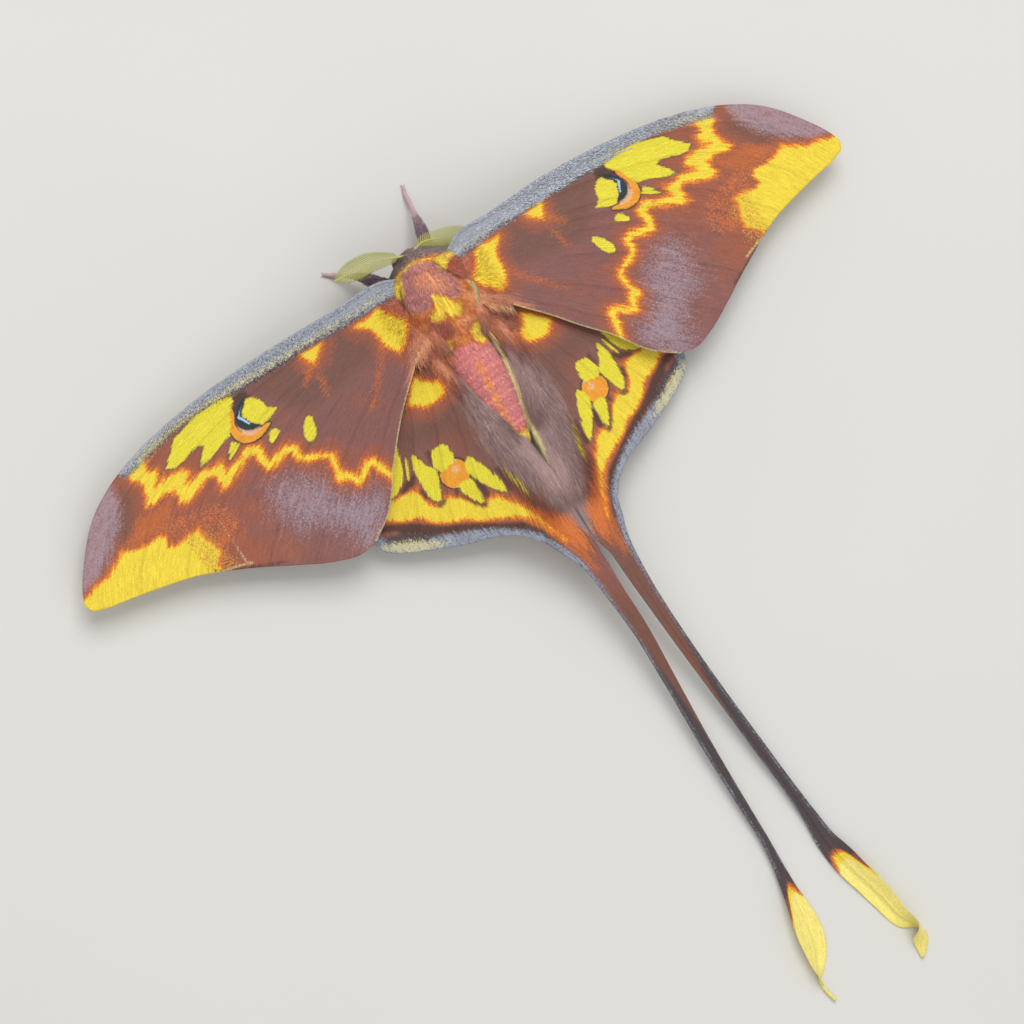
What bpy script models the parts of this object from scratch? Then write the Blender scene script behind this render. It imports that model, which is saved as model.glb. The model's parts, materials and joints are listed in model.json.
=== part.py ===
"""A moon moth with long hindwing tails, life size, at rest with its wings spread.

The head points along -Y, the moth's left side is +X and the floor is Z = 0. Sizes below are in
millimetres in the body's own frame, whose Y = 0 is the middle of the thorax; place() moves them
to the model's origin, which is the centre of the whole outline on the floor.
"""
import math

import bmesh
import bpy
import numpy as np
from mathutils import Vector

MM = 0.001
GAP = 0.3                  # clearance between pieces that touch
ORIGIN_Y = 52.1            # thorax centre to the middle of the whole length
SIDES = {"l": 1.0, "r": -1.0}

# Wings: both pairs droop from the root to the tip along one falling curve.
ROOT_Z = 13.2              # height of the forewing at its root
DROOP = 8.5                # how far the tips hang below the root
DROOP_REACH = 16.0         # span over which most of the droop happens
ROOT_X = 5.0               # where the droop begins
MEMBRANE = 0.5             # thickness of a wing
RIDGE = 0.3                # height of a vein above the membrane
VEIN_HALF = 0.014          # half the width of a vein, as a share of the wing's breadth
HIND_BELOW = 1.5           # how far the hindwing lies under the forewing
HIND_FALL = 0.1            # backward slope of the hindwing
HIND_FALL_FROM = 12.0      # where that slope begins
HIND_SHIFT = 1.4           # both hindwings lie this far towards the moth's right
HIND_SHIFT_OVER = 16.0     # length over which that shift builds up
TAIL_Y = 38.1              # where the blade of a hindwing ends and its tail begins

# Forewing outline, left side: front edge, outer edge from the tip, and hind edge.
FORE_ROOT_X = 3.2
FORE_COSTA = [(FORE_ROOT_X, -7.6), (6.5, -9.2), (14, -9.4), (24, -9.6), (34, -9.3), (44, -8.15),
              (51, -6.7), (57, -4.6), (63, -1.0), (67.5, 4.0), (70.1, 7.9), (70.8, 9.5)]
FORE_TERMEN = [(70.8, 9.5), (70.3, 10.8), (68.4, 11.6), (64, 12.4), (59, 13.4), (54, 14.6),
               (49, 16.6), (44, 19.0), (39.2, 21.6), (34.2, 24.0), (30.6, 25.0), (27.6, 24.5)]
FORE_HIND = [(FORE_ROOT_X, 1.5), (7, 3.2), (10.4, 6.2), (14, 9.7), (19, 15.6), (24, 22), (27.6, 24.5)]
FORE_VEINS = {0.07: 0.0, 0.2: 0.0, 0.36: 0.4, 0.5: 0.45, 0.63: 0.4, 0.78: 0.3, 0.92: 0.0}
RIGHT_SWEEP = 0.7          # degrees that the right forewing is set further forward
RIGHT_BROADER = 0.035      # share that its breadth gains, measured from the hind corner
RIGHT_BROAD_FROM = 24.0    # span by which it is that much broader
RIGHT_OUT = 0.8            # its base lies this much further out than the left one's
RIGHT_FULLER = 1.1         # and its hind corner this much further out again
FULLER_FROM = 11.0         # where that begins, and the length it takes
FULLER_OVER = 7.0
HIND_CORNER_Y = 25.0

# Hindwing blade, shared by both sides: hidden front edge, outer edge and inner edge.
HIND_ROOT_X = 3.4
HIND_COSTA = [(HIND_ROOT_X, -2.0), (11, 0.5), (19, 7.5), (26.5, 16), (29.6, 21.5), (29.1, 24.7)]
HIND_OUTER = [(29.1, 24.7), (28.4, 26.5), (25.8, 28.3), (21.4, 30.4), (16.5, 32.4), (13.2, 33.4),
              (10.4, 34.8), (8.6, 36.2), (7.1, TAIL_Y)]
HIND_INNER = [(HIND_ROOT_X, 2.5), (4.0, 7), (3.1, 12), (2.2, 16.3), (1.35, 20.5), (0.65, 24.7),
              (0.22, 30), (0.18, 35), (0.2, TAIL_Y)]
HIND_TAIL_SHARE = 0.24     # share of the blade's breadth that runs into the tail
HIND_VEINS = {0.12: 0.0, 0.28: 0.4, 0.43: 0.4, 0.58: 0.35, 0.72: 0.2, 0.9: 0.0}

# Tails: (distance back, centre to the left, width) along each ribbon.
TAIL_PATH = {
    "l": [(41, 1.15, 5.1), (45, 0.25, 3.9), (51, -0.3, 3.0), (57, -0.8, 2.6), (67, -0.85, 2.1),
          (78, -0.7, 1.9), (90, -0.8, 1.6), (98, -0.85, 1.5), (102, -0.55, 2.0), (105, -0.2, 2.8),
          (109, 0.3, 4.4), (112.5, 0.8, 5.5), (116, 1.65, 4.7), (118.5, 2.7, 2.6), (120.2, 3.4, 1.0),
          (124.2, 2.8, 0.5)],
    "r": [(41, -4.6, 5.9), (45, -4.7, 3.9), (50, -4.8, 3.1), (57, -5.2, 2.5), (64, -5.8, 2.2),
          (73, -6.7, 2.1), (83, -7.75, 2.1), (91, -8.6, 2.0), (98, -9.2, 2.6), (102, -9.3, 3.5),
          (105.7, -10.0, 5.0), (108.8, -10.6, 5.1), (111.2, -11.4, 4.4), (115, -12.3, 4.1),
          (118.8, -13.05, 3.4), (121.2, -14.6, 1.9), (123.6, -14.3, 2.0), (126.2, -12.9, 0.5)],
}
TAIL_HEIGHTS = [(57, 5.2), (68, 3.6), (80, 2.3), (92, 1.3), (104, 0.5), (110, 0.25), (128, 0.25)]

# Body: (distance back, half width, top, underside) of each ring, out to the tips of the fur.
THORAX = [(-10.9, 2.0, 13.0, 11.2), (-10.3, 3.6, 13.7, 10.2), (-9.4, 5.3, 14.3, 8.2), (-8.4, 6.2, 14.7, 5.6),
          (-5.0, 7.1, 15.4, 3.6), (-1.0, 7.2, 15.6, 3.0), (2.4, 6.3, 14.8, 3.4), (4.4, 4.6, 13.4, 4.4),
          (5.1, 3.3, 12.2, 5.6)]
HEAD = [(-12.0, 0.9, 9.3, 7.2), (-11.5, 1.8, 10.1, 6.4), (-10.6, 2.4, 10.7, 5.8), (-9.4, 2.6, 10.9, 5.6),
        (-8.6, 2.4, 10.6, 5.8)]
ABDOMEN_Y = 5.1 + GAP
ABDOMEN_END = 24.4
ABDOMEN = [(ABDOMEN_Y, 3.0, 11.9, 5.8), (7.5, 3.5, 12.2, 4.9), (11.0, 3.5, 11.9, 4.6), (15.0, 3.1, 11.0, 4.6),
           (19.0, 2.4, 9.8, 4.9), (22.0, 1.75, 8.8, 5.4), (23.7, 1.1, 8.0, 6.0), (ABDOMEN_END, 0.55, 7.4, 6.5)]
ABDOMEN_LEAN = 0.6         # how far the abdomen lies towards the moth's right
SEGMENTS = 8
GROOVE = 0.16              # depth of the ring between two segments
EYE = {"centre": (2.2, -10.6, 7.9), "radii": (0.85, 1.1, 1.15)}

# Feelers: shaft points of each one, and the comb of rays on both sides of it.
ANTENNA = {"l": [(0.9, -10.9, 9.6), (3.0, -11.8, 9.7), (5.6, -12.7, 9.5), (8.8, -13.1, 9.2), (12.2, -13.2, 8.8)],
           "r": [(-0.7, -10.9, 9.6), (-2.6, -11.4, 9.6), (-5.2, -10.7, 9.3), (-8.0, -9.6, 9.0),
                 (-11.2, -8.4, 8.7)]}
SHAFT_R = (0.34, 0.26)
RAYS = 12
RAY_R = (0.26, 0.2)
RAY_LENGTH = 2.35
RAY_LEAN = 28              # degrees that a ray leans from square towards the tip

# Legs: points down the left leg with the radius at each, from inside the thorax to the toe.
TOE_Z = 0.34
TOE_R = 0.38
LEGS = {
    "fore_l": [(2.4, -6.6, 6.4, 0.8), (5.1, -9.3, 5.0, 0.95), (6.5, -11.0, 4.1, 1.02), (7.7, -12.5, 3.1, 0.5),
               (9.6, -14.2, 1.5, 0.38), (11.0, -15.3, TOE_Z, TOE_R), (11.8, -15.9, TOE_Z, TOE_R)],
    "fore_r": [(-2.4, -6.6, 6.4, 0.8), (-3.7, -10.6, 5.3, 0.95), (-4.6, -13.6, 4.3, 1.02),
               (-5.2, -16.0, 3.1, 0.5), (-5.9, -18.5, 1.4, 0.38), (-6.3, -20.6, TOE_Z, TOE_R),
               (-6.6, -21.6, TOE_Z, TOE_R)],
    "mid": [(3.0, -2.5, 6.0, 0.8), (7.2, -3.6, 5.4, 0.8), (10.0, -3.0, 4.2, 0.75), (12.0, -1.6, 2.4, 0.5),
            (13.6, -0.2, 0.9, 0.38), (14.8, 1.0, TOE_Z, TOE_R), (15.8, 2.0, TOE_Z, TOE_R)],
    "hind": [(2.8, 0.8, 6.0, 0.8), (5.6, 4.6, 5.2, 0.8), (7.4, 8.2, 3.9, 0.72), (8.6, 11.6, 2.2, 0.5),
             (9.4, 14.0, 0.9, 0.38), (10.0, 15.8, TOE_Z, TOE_R), (10.5, 17.2, TOE_Z, TOE_R)],
}

COLOURS = {  # base colour and roughness of each kind of surface
    "thorax": ((0.36, 0.12, 0.08), 0.9), "head": ((0.26, 0.10, 0.06), 0.9), "abdomen": ((0.52, 0.12, 0.10), 0.85),
    "eye": ((0.03, 0.02, 0.02), 0.25), "antenna": ((0.45, 0.40, 0.12), 0.6), "leg": ((0.17, 0.08, 0.09), 0.8),
    "forewing": ((0.24, 0.08, 0.06), 0.75), "hindwing": ((0.30, 0.12, 0.05), 0.75),
    "tail": ((0.24, 0.06, 0.04), 0.75),
}


def place(points):
    """Body-frame millimetres to the model's metres."""
    return (np.asarray(points, float) - (0.0, ORIGIN_Y, 0.0)) * MM


def eased(share):
    """0 to 1 with a soft start and a soft end."""
    u = np.clip(share, 0.0, 1.0)
    return u * u * (3 - 2 * u)


def curve_through(points, fractions):
    """Catmull-Rom curve through the points, read at the given shares of its chord length."""
    p = np.asarray(points, float)
    knots = np.concatenate([[0.0], np.cumsum(np.linalg.norm(np.diff(p[:, :3], axis=0), axis=1))])
    knots /= knots[-1]
    slopes = np.gradient(p, knots, axis=0)
    f = np.clip(np.asarray(fractions, float), 0.0, 1.0)
    k = np.clip(np.searchsorted(knots, f, side="right") - 1, 0, len(p) - 2)
    width = (knots[k + 1] - knots[k])[:, None]
    u = (f - knots[k])[:, None] / width
    return ((2 * u**3 - 3 * u**2 + 1) * p[k] + (u**3 - 2 * u**2 + u) * width * slopes[k]
            + (3 * u**2 - 2 * u**3) * p[k + 1] + (u**3 - u**2) * width * slopes[k + 1])


def read_table(table, y):
    """Smooth values from rows that start with a distance back."""
    rows = np.asarray(table, float)
    return np.stack([np.interp(y, *smooth_column(rows[:, 0], rows[:, c])) for c in range(1, rows.shape[1])], -1)


def smooth_column(keys, values, steps=12):
    """The same column on finer keys, along a curve through its values."""
    fine = curve_through(np.stack([keys, np.zeros_like(keys)], -1), np.linspace(0, 1, steps * len(keys)))[:, 0]
    slopes = np.gradient(values, keys)
    k = np.clip(np.searchsorted(keys, fine, side="right") - 1, 0, len(keys) - 2)
    width = keys[k + 1] - keys[k]
    u = (fine - keys[k]) / width
    curve = ((2 * u**3 - 3 * u**2 + 1) * values[k] + (u**3 - 2 * u**2 + u) * width * slopes[k]
             + (3 * u**2 - 2 * u**3) * values[k + 1] + (u**3 - u**2) * width * slopes[k + 1])
    return fine, curve


def material(kind):
    name = kind + "_surface"
    if name in bpy.data.materials:
        return bpy.data.materials[name]
    colour, roughness = COLOURS[kind]
    mat = bpy.data.materials.new(name)
    mat.use_nodes = True
    shader = mat.node_tree.nodes["Principled BSDF"]
    shader.inputs["Base Color"].default_value = (*colour, 1.0)
    shader.inputs["Roughness"].default_value = roughness
    shader.inputs["Metallic"].default_value = 0.0
    return mat


def new_object(name, points, faces, kind=None):
    """A mesh object from body-frame points, with its faces turned outwards."""
    mesh = bpy.data.meshes.new(name)
    mesh.from_pydata(place(points).tolist(), [], faces)
    bm = bmesh.new()
    bm.from_mesh(mesh)
    bmesh.ops.recalc_face_normals(bm, faces=bm.faces)
    bm.to_mesh(mesh)
    bm.free()
    obj = bpy.data.objects.new(name, mesh)
    bpy.context.collection.objects.link(obj)
    if kind:
        mesh.materials.append(material(kind))
        mesh.shade_smooth()
    return obj


def sheet_with_thickness(name, middle, thickness, ridges, kind):
    """A thin closed slab round a grid of points, split into triangles alike on both faces."""
    rows, columns = middle.shape[:2]
    half = np.zeros_like(middle)
    half[..., 2] = thickness / 2
    top = middle + half
    top[..., 2] += ridges
    points = np.concatenate([top.reshape(-1, 3), (middle - half).reshape(-1, 3)])
    under = rows * columns
    faces = []
    for i in range(rows - 1):
        for j in range(columns - 1):
            a, b, c, d = (i * columns + j, (i + 1) * columns + j, (i + 1) * columns + j + 1, i * columns + j + 1)
            faces += [(a, b, c), (a, c, d), (under + a, under + c, under + b), (under + a, under + d, under + c)]
    rim = ([j for j in range(columns)] + [i * columns + columns - 1 for i in range(1, rows)]
           + [(rows - 1) * columns + j for j in range(columns - 2, -1, -1)]
           + [i * columns for i in range(rows - 2, 0, -1)])
    for k, a in enumerate(rim):
        b = rim[(k + 1) % len(rim)]
        faces += [(a, b, under + b), (a, under + b, under + a)]
    return new_object(name, points, faces, kind)


def rings_to_faces(rings, sides):
    """Faces that join each ring of points to the next, with a fan at either end."""
    faces = []
    for i in range(rings - 1):
        for j in range(sides):
            k = (j + 1) % sides
            faces.append((i * sides + j, i * sides + k, (i + 1) * sides + k, (i + 1) * sides + j))
    faces.append(tuple(range(sides - 1, -1, -1)))
    faces.append(tuple((rings - 1) * sides + j for j in range(sides)))
    return faces


def body_solid(name, table, rings, sides, kind=None, power=2.0, grow=0.0, lean=0.0, groove=None):
    """Rounded rings along the body, from a table of half widths, tops and undersides."""
    start, end = table[0][0] - grow, table[-1][0] + grow
    y = start + (end - start) * (1 - np.cos(np.linspace(0, math.pi, rings))) / 2
    if groove:
        y = np.linspace(start, end, rings)
    half, top, under = read_table(table, np.clip(y, table[0][0], table[-1][0])).T
    tuck = groove(y) if groove else 0.0
    angle = np.linspace(0, 2 * math.pi, sides, endpoint=False)
    cos, sin = np.cos(angle), np.sin(angle)
    round_x = np.sign(cos) * np.abs(cos) ** (2 / power)
    round_z = np.sign(sin) * np.abs(sin) ** (2 / power)
    centre_x = -lean * np.clip((y - start) / 6.0, 0.0, 1.0)
    points = np.stack([centre_x[:, None] + (half + grow - tuck)[:, None] * round_x,
                       np.broadcast_to(y[:, None], (rings, sides)),
                       ((top + under) / 2)[:, None] + ((top - under) / 2 + grow - tuck)[:, None] * round_z], -1)
    return new_object(name, points.reshape(-1, 3), rings_to_faces(rings, sides), kind)


def tube(name, path, radii, sides, kind=None, floor=None):
    """A tapered tube along a path; floor flattens whatever would sink below it."""
    path, radii = np.asarray(path, float), np.asarray(radii, float)
    points = []
    side = Vector((0.0, 0.0, 1.0))
    for i, centre in enumerate(path):
        ahead = Vector(path[min(i + 1, len(path) - 1)] - path[max(i - 1, 0)]).normalized()
        side = (side - ahead * side.dot(ahead)).normalized()
        other = ahead.cross(side)
        for j in range(sides):
            angle = 2 * math.pi * (j + 0.5) / sides
            points.append(Vector(centre) + (side * math.cos(angle) + other * math.sin(angle)) * radii[i])
    points = np.array([tuple(p) for p in points])
    if floor is not None:
        points[:, 2] = np.maximum(points[:, 2], floor)
    return new_object(name, points, rings_to_faces(len(path), sides), kind)


def ellipsoid(name, centre, radii, kind=None, grow=0.0, segments=12, rings=8):
    bm = bmesh.new()
    bmesh.ops.create_uvsphere(bm, u_segments=segments, v_segments=rings, radius=1.0)
    for v in bm.verts:
        v.co = Vector(place([centre[k] + (radii[k] + grow) * v.co[k] for k in range(3)]))
    mesh = bpy.data.meshes.new(name)
    bm.to_mesh(mesh)
    bm.free()
    obj = bpy.data.objects.new(name, mesh)
    bpy.context.collection.objects.link(obj)
    if kind:
        mesh.materials.append(material(kind))
        mesh.shade_smooth()
    return obj


def keep_largest(mesh):
    """Drops every closed surface but the one with the most faces."""
    bm = bmesh.new()
    bm.from_mesh(mesh)
    left, islands = set(bm.faces), []
    while left:
        seen, queue = set(), [left.pop()]
        while queue:
            face = queue.pop()
            seen.add(face)
            for edge in face.edges:
                for other in edge.link_faces:
                    if other in left:
                        left.discard(other)
                        queue.append(other)
        islands.append(seen)
    islands.sort(key=len)
    for loose in islands[:-1]:
        bmesh.ops.delete(bm, geom=list(loose), context="FACES")
    bm.to_mesh(mesh)
    bm.free()


def combine(obj, others, operation):
    """One applied Boolean of obj with a collection of closed helpers."""
    group = bpy.data.collections.new(obj.name + "_helpers")
    bpy.context.scene.collection.children.link(group)
    for other in others:
        group.objects.link(other)
    step = obj.modifiers.new(operation.lower(), "BOOLEAN")
    step.operation = operation
    step.operand_type = "COLLECTION"
    step.collection = group
    step.solver = "EXACT"
    depsgraph = bpy.context.evaluated_depsgraph_get()
    done = bpy.data.meshes.new_from_object(obj.evaluated_get(depsgraph))
    obj.modifiers.clear()
    obj.data = done
    keep_largest(done)
    bpy.data.collections.remove(group)


def cut_clear(obj, *makers):
    """Cuts obj back from grown copies of its neighbours, and removes those copies."""
    cutters = [make() for make in makers]
    combine(obj, cutters, "DIFFERENCE")
    for cutter in cutters:
        bpy.data.objects.remove(cutter)


def thorax_clearance():
    return body_solid("thorax_clearance", THORAX, 14, 24, power=2.6, grow=GAP)


def head_clearance():
    return body_solid("head_clearance", HEAD, 9, 16, grow=GAP)


def fall(x):
    """Height lost at a distance out from the wing's root."""
    out = x - ROOT_X
    reach = (out + np.sqrt(out**2 + 9.0)) / 2
    return DROOP * (1 - np.exp(-reach / DROOP_REACH))


def forewing_height(x):
    return ROOT_Z - fall(x)


def hindwing_height(x, y):
    back = y - HIND_FALL_FROM
    return ROOT_Z - HIND_BELOW - fall(x) - HIND_FALL * (back + np.sqrt(back**2 + 16.0)) / 2


def set_right_forewing(x, y):
    """The right forewing is swept a little further forward than the left."""
    angle = math.radians(RIGHT_SWEEP)
    widening = 1 + RIGHT_BROADER * np.clip(x / RIGHT_BROAD_FROM, 0.0, 1.0)
    broad = HIND_CORNER_Y + (y - HIND_CORNER_Y) * widening
    fuller = RIGHT_FULLER * eased((y - FULLER_FROM) / FULLER_OVER) * eased(x / HIND_CORNER_Y)
    out = x + RIGHT_OUT * (1 - x / FORE_COSTA[-1][0]) + fuller
    return out, broad - math.sin(angle) * (out - ROOT_X)


def hind_shift(y):
    """Sideways set of the hindwings at a distance back."""
    return HIND_SHIFT * eased(y / HIND_SHIFT_OVER)


def vein_columns(veins, plain):
    """Shares of the wing's breadth for the grid's columns, with three to each vein."""
    shares = {0.0: None, 1.0: None}
    for share in plain:
        shares[share] = None
    for share, start in veins.items():
        shares[share - VEIN_HALF] = None
        shares[share] = start
        shares[share + VEIN_HALF] = None
    keys = sorted(shares)
    return np.array(keys), [shares[k] for k in keys]


def ridge_heights(rows, starts):
    """Height of each vein along the wing: it rises where the vein begins and dies at the edge."""
    heights = np.zeros((len(rows), len(starts)))
    for j, start in enumerate(starts):
        if start is not None:
            rise = np.clip((rows - start) / 0.08, 0.0, 1.0) if start else np.ones_like(rows)
            heights[:, j] = RIDGE * rise * np.clip((1 - rows) / 0.06, 0.0, 1.0)
    return heights


def patch(front, outer, back, rows, columns, outer_columns=None):
    """Coons patch between a front edge, an outer edge, a back edge and a straight root."""
    a, b = curve_through(front, rows), curve_through(back, rows)
    e = curve_through(outer, columns if outer_columns is None else outer_columns)
    d = np.asarray(front[0]) + (np.asarray(back[0], float) - front[0]) * columns[:, None]
    s, t = rows[:, None, None], columns[None, :, None]
    corners = ((1 - s) * ((1 - t) * a[0] + t * b[0]) + s * ((1 - t) * a[-1] + t * b[-1]))
    return (1 - t) * a[:, None] + t * b[:, None] + (1 - s) * d[None] + s * e[None] - corners


def make_forewing(side):
    rows = np.linspace(0, 1, 17) ** 0.9
    columns, starts = vein_columns(FORE_VEINS, (0.28, 0.43, 0.565, 0.705, 0.85))
    plan = patch(FORE_COSTA, FORE_TERMEN, FORE_HIND, rows, columns)
    x, y = plan[..., 0], plan[..., 1]
    z = forewing_height(x)
    if side == "r":
        x, y = set_right_forewing(x, y)
    middle = np.stack([x * SIDES[side], y, z], -1)
    wing = sheet_with_thickness("forewing_" + side, middle, MEMBRANE, ridge_heights(rows, starts), "forewing")
    cut_clear(wing, thorax_clearance)


def hind_edges():
    """Shares along the outer edge and then across the start of the tail."""
    columns, starts = vein_columns(HIND_VEINS, (0.2, 0.35, 0.5, 0.65, 1 - HIND_TAIL_SHARE, 0.82))
    blade = columns <= 1 - HIND_TAIL_SHARE + 1e-9
    along = columns[blade] / (1 - HIND_TAIL_SHARE)
    across = (columns[~blade] - 1 + HIND_TAIL_SHARE) / HIND_TAIL_SHARE
    outer = curve_through(HIND_OUTER, along)
    corner, inner = np.asarray(HIND_OUTER[-1]), np.asarray(HIND_INNER[-1])
    return columns, starts, np.concatenate([outer, corner + (inner - corner) * across[:, None]])


def make_hindwing(side):
    rows = np.linspace(0, 1, 15)
    columns, starts, outer = hind_edges()
    a, b = curve_through(HIND_COSTA, rows), curve_through(HIND_INNER, rows)
    d = a[0] + (b[0] - a[0]) * columns[:, None]
    s, t = rows[:, None, None], columns[None, :, None]
    corners = (1 - s) * ((1 - t) * a[0] + t * b[0]) + s * ((1 - t) * a[-1] + t * b[-1])
    plan = (1 - t) * a[:, None] + t * b[:, None] + (1 - s) * d[None] + s * outer[None] - corners
    x, y = plan[..., 0], plan[..., 1]
    z = hindwing_height(x, y)
    middle = np.stack([x * SIDES[side] - hind_shift(y), y, z], -1)
    wing = sheet_with_thickness("hindwing_" + side, middle, MEMBRANE, ridge_heights(rows, starts), "hindwing")
    cut_clear(wing, thorax_clearance)


def make_tail(side):
    """A ribbon that leaves the blade at its own slope, flattens, and ends lying on the floor."""
    sign = SIDES[side]
    start_y = TAIL_Y + GAP
    outer_x, inner_x = HIND_OUTER[-1][0], HIND_INNER[-1][0]
    root_x = sign * (outer_x + inner_x) / 2 - HIND_SHIFT
    root_z = float(hindwing_height(np.array((outer_x + inner_x) / 2), np.array(start_y)))
    slope = sign * float(hindwing_height(np.array(outer_x), np.array(start_y))
                         - hindwing_height(np.array(inner_x), np.array(start_y))) / (outer_x - inner_x)
    path = [(start_y, root_x, outer_x - inner_x)] + TAIL_PATH[side]
    heights = [(start_y, root_z)] + TAIL_HEIGHTS
    end_y = path[-1][0]
    y = start_y + (end_y - start_y) * np.linspace(0, 1, 40)
    centre, width = read_table(path, y).T
    height = read_table(heights, y)[:, 0]
    width = np.maximum(width, MEMBRANE)
    turn = np.gradient(centre, y)
    across = np.linspace(-0.5, 0.5, 5)[None, :] * width[:, None]
    level = np.clip(1 - (y - start_y) / 14.0, 0.0, 1.0)
    square = np.clip((y - start_y) / 3.0, 0.0, 1.0)
    length = np.sqrt(1 + turn**2)
    x = centre[:, None] + across / length[:, None]
    back = y[:, None] - across * (turn * square / length)[:, None]
    z = height[:, None] + across * (slope * level)[:, None]
    ridges = np.zeros_like(z)
    ridges[:, 2] = RIDGE * np.clip((end_y - y) / 12.0, 0.0, 1.0)
    sheet_with_thickness("hindwing_tail_" + side, np.stack([x, back, z], -1), MEMBRANE, ridges, "tail")


def make_thorax():
    thorax = body_solid("thorax", THORAX, 14, 24, "thorax", power=2.6)
    cut_clear(thorax, head_clearance)


def eye_places():
    x, y, z = EYE["centre"]
    return {side: (sign * x, y, z) for side, sign in SIDES.items()}


def make_head():
    head = body_solid("head", HEAD, 9, 16, "head")
    places = eye_places()
    cut_clear(head, *[lambda c=places[s]: ellipsoid("eye_clearance", c, EYE["radii"], grow=GAP) for s in SIDES])
    for side in SIDES:
        ellipsoid("eye_" + side, places[side], EYE["radii"], "eye")


def make_abdomen():
    """Tapers back in rings, each a little pinched where two segments meet."""
    step = (ABDOMEN_END - ABDOMEN_Y) / SEGMENTS

    def groove(y):
        share = ((y - ABDOMEN_Y) / step) % 1.0
        return GROOVE * np.exp(-(np.minimum(share, 1 - share) / 0.14) ** 2)

    body_solid("abdomen", ABDOMEN, SEGMENTS * 4 + 1, 20, "abdomen", lean=ABDOMEN_LEAN, groove=groove)


def make_antenna(side):
    """A tapering shaft with a comb of rays on either side, longest in the middle."""
    shares = np.linspace(0, 1, 15)
    path = curve_through(ANTENNA[side], shares)
    antenna = tube("antenna_" + side, path, np.interp(shares, (0, 1), SHAFT_R), 6, "antenna")
    rays = []
    for k in range(RAYS):
        share = 0.26 + 0.7 * k / (RAYS - 1)
        root, ahead = curve_through(ANTENNA[side], [share, min(share + 0.02, 1.0)])
        along = Vector(ahead - root).normalized()
        length = RAY_LENGTH * math.sin(math.pi * (0.14 + 0.8 * share)) ** 0.7
        for hand in (-1, 1):
            out = along.cross(Vector((0, 0, 1))).normalized() * hand
            lean = math.radians(RAY_LEAN)
            first = out * math.cos(lean) + along * math.sin(lean)
            bent = out * math.cos(lean * 1.5) + along * math.sin(lean * 1.5) - Vector((0, 0, 0.12))
            root_v = Vector(root)
            points = [root_v, root_v + first * length * 0.55, root_v + first * length * 0.55 + bent * length * 0.45]
            rays.append(tube("ray", [tuple(p) for p in points], [RAY_R[0], RAY_R[0], RAY_R[1]], 4))
    combine(antenna, rays, "UNION")
    for ray in rays:
        bpy.data.objects.remove(ray)
    cut_clear(antenna, head_clearance, thorax_clearance)


def make_leg(name, rows, sign=1.0):
    table = np.asarray(rows, float) * (sign, 1.0, 1.0, 1.0)
    shares = np.linspace(0, 1, 15)
    line = curve_through(table, shares)
    line[-3:, 2] = np.minimum(line[-3:, 2], TOE_Z)
    leg = tube(name, line[:, :3], line[:, 3], 8, "leg", floor=0.0)
    cut_clear(leg, thorax_clearance)


def make_moth():
    make_thorax()
    make_head()
    make_abdomen()
    for side, sign in SIDES.items():
        make_antenna(side)
        make_forewing(side)
        make_hindwing(side)
        make_tail(side)
        make_leg("leg_fore_" + side, LEGS["fore_" + side])
        make_leg("leg_mid_" + side, LEGS["mid"], sign)
        make_leg("leg_hind_" + side, LEGS["hind"], sign)


for old in list(bpy.data.objects):
    bpy.data.objects.remove(old)
make_moth()
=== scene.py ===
"""The looks of a life-size moon moth at rest with its wings spread.

Lengths in the body's own frame are millimetres: +X is the moth's left, -Y its head, Y = 0 the middle of
the thorax and Z = 0 the floor. place() turns them into the model's metres.
"""
import json
import math

import bpy
import numpy as np
from bpy.props import FloatProperty, FloatVectorProperty, IntProperty, PointerProperty
from mathutils import Matrix, Vector

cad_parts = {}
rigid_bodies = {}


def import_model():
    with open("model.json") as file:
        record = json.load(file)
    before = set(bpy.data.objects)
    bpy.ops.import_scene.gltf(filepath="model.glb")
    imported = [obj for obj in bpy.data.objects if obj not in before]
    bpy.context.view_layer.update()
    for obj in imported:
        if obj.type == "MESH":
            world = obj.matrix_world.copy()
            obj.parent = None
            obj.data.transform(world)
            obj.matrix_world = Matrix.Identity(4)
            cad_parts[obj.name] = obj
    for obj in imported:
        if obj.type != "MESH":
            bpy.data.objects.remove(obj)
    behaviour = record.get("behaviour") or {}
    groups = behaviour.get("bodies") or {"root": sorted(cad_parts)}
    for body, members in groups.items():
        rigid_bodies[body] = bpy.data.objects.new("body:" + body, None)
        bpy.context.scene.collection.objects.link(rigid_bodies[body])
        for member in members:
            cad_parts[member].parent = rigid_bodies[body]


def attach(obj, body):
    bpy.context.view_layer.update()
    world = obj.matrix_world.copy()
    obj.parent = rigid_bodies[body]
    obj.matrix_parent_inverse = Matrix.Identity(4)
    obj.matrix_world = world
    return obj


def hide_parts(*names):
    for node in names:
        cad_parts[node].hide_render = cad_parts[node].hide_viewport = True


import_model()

bl_info = {
    "name": "Moon Moth",
    "version": (1, 0, 0),
    "blender": (4, 5, 0),
    "location": "View3D > Sidebar > Moon Moth",
    "description": "Builds a long-tailed moon moth with its wings spread, hair by hair",
    "category": "Add Mesh",
}

MM = 0.001
MOST_TUFTS = 12000         # in one piece of a coat
HIND_TUFTS, FORE_TUFTS, LEG_TUFTS = 10000, 7000, 1500
PATCH = 0.003              # breadth of a tuft's patch on OFBake
PIXEL, PIXELS = 0.155, 1024   # the picture's scale in mm, and its breadth
CAMERA_AWAY, CAMERA_TILT = 450, 10   # mm from what it looks at, degrees off upright
LOOK_AT, PICTURE_UP = (7.5, 31.6, 9.2), (-0.53, -0.848, 0.0)
ORIGIN_Y = 52.1            # thorax centre to the middle of the whole length
SIDES = {"l": 1.0, "r": -1.0}

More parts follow.
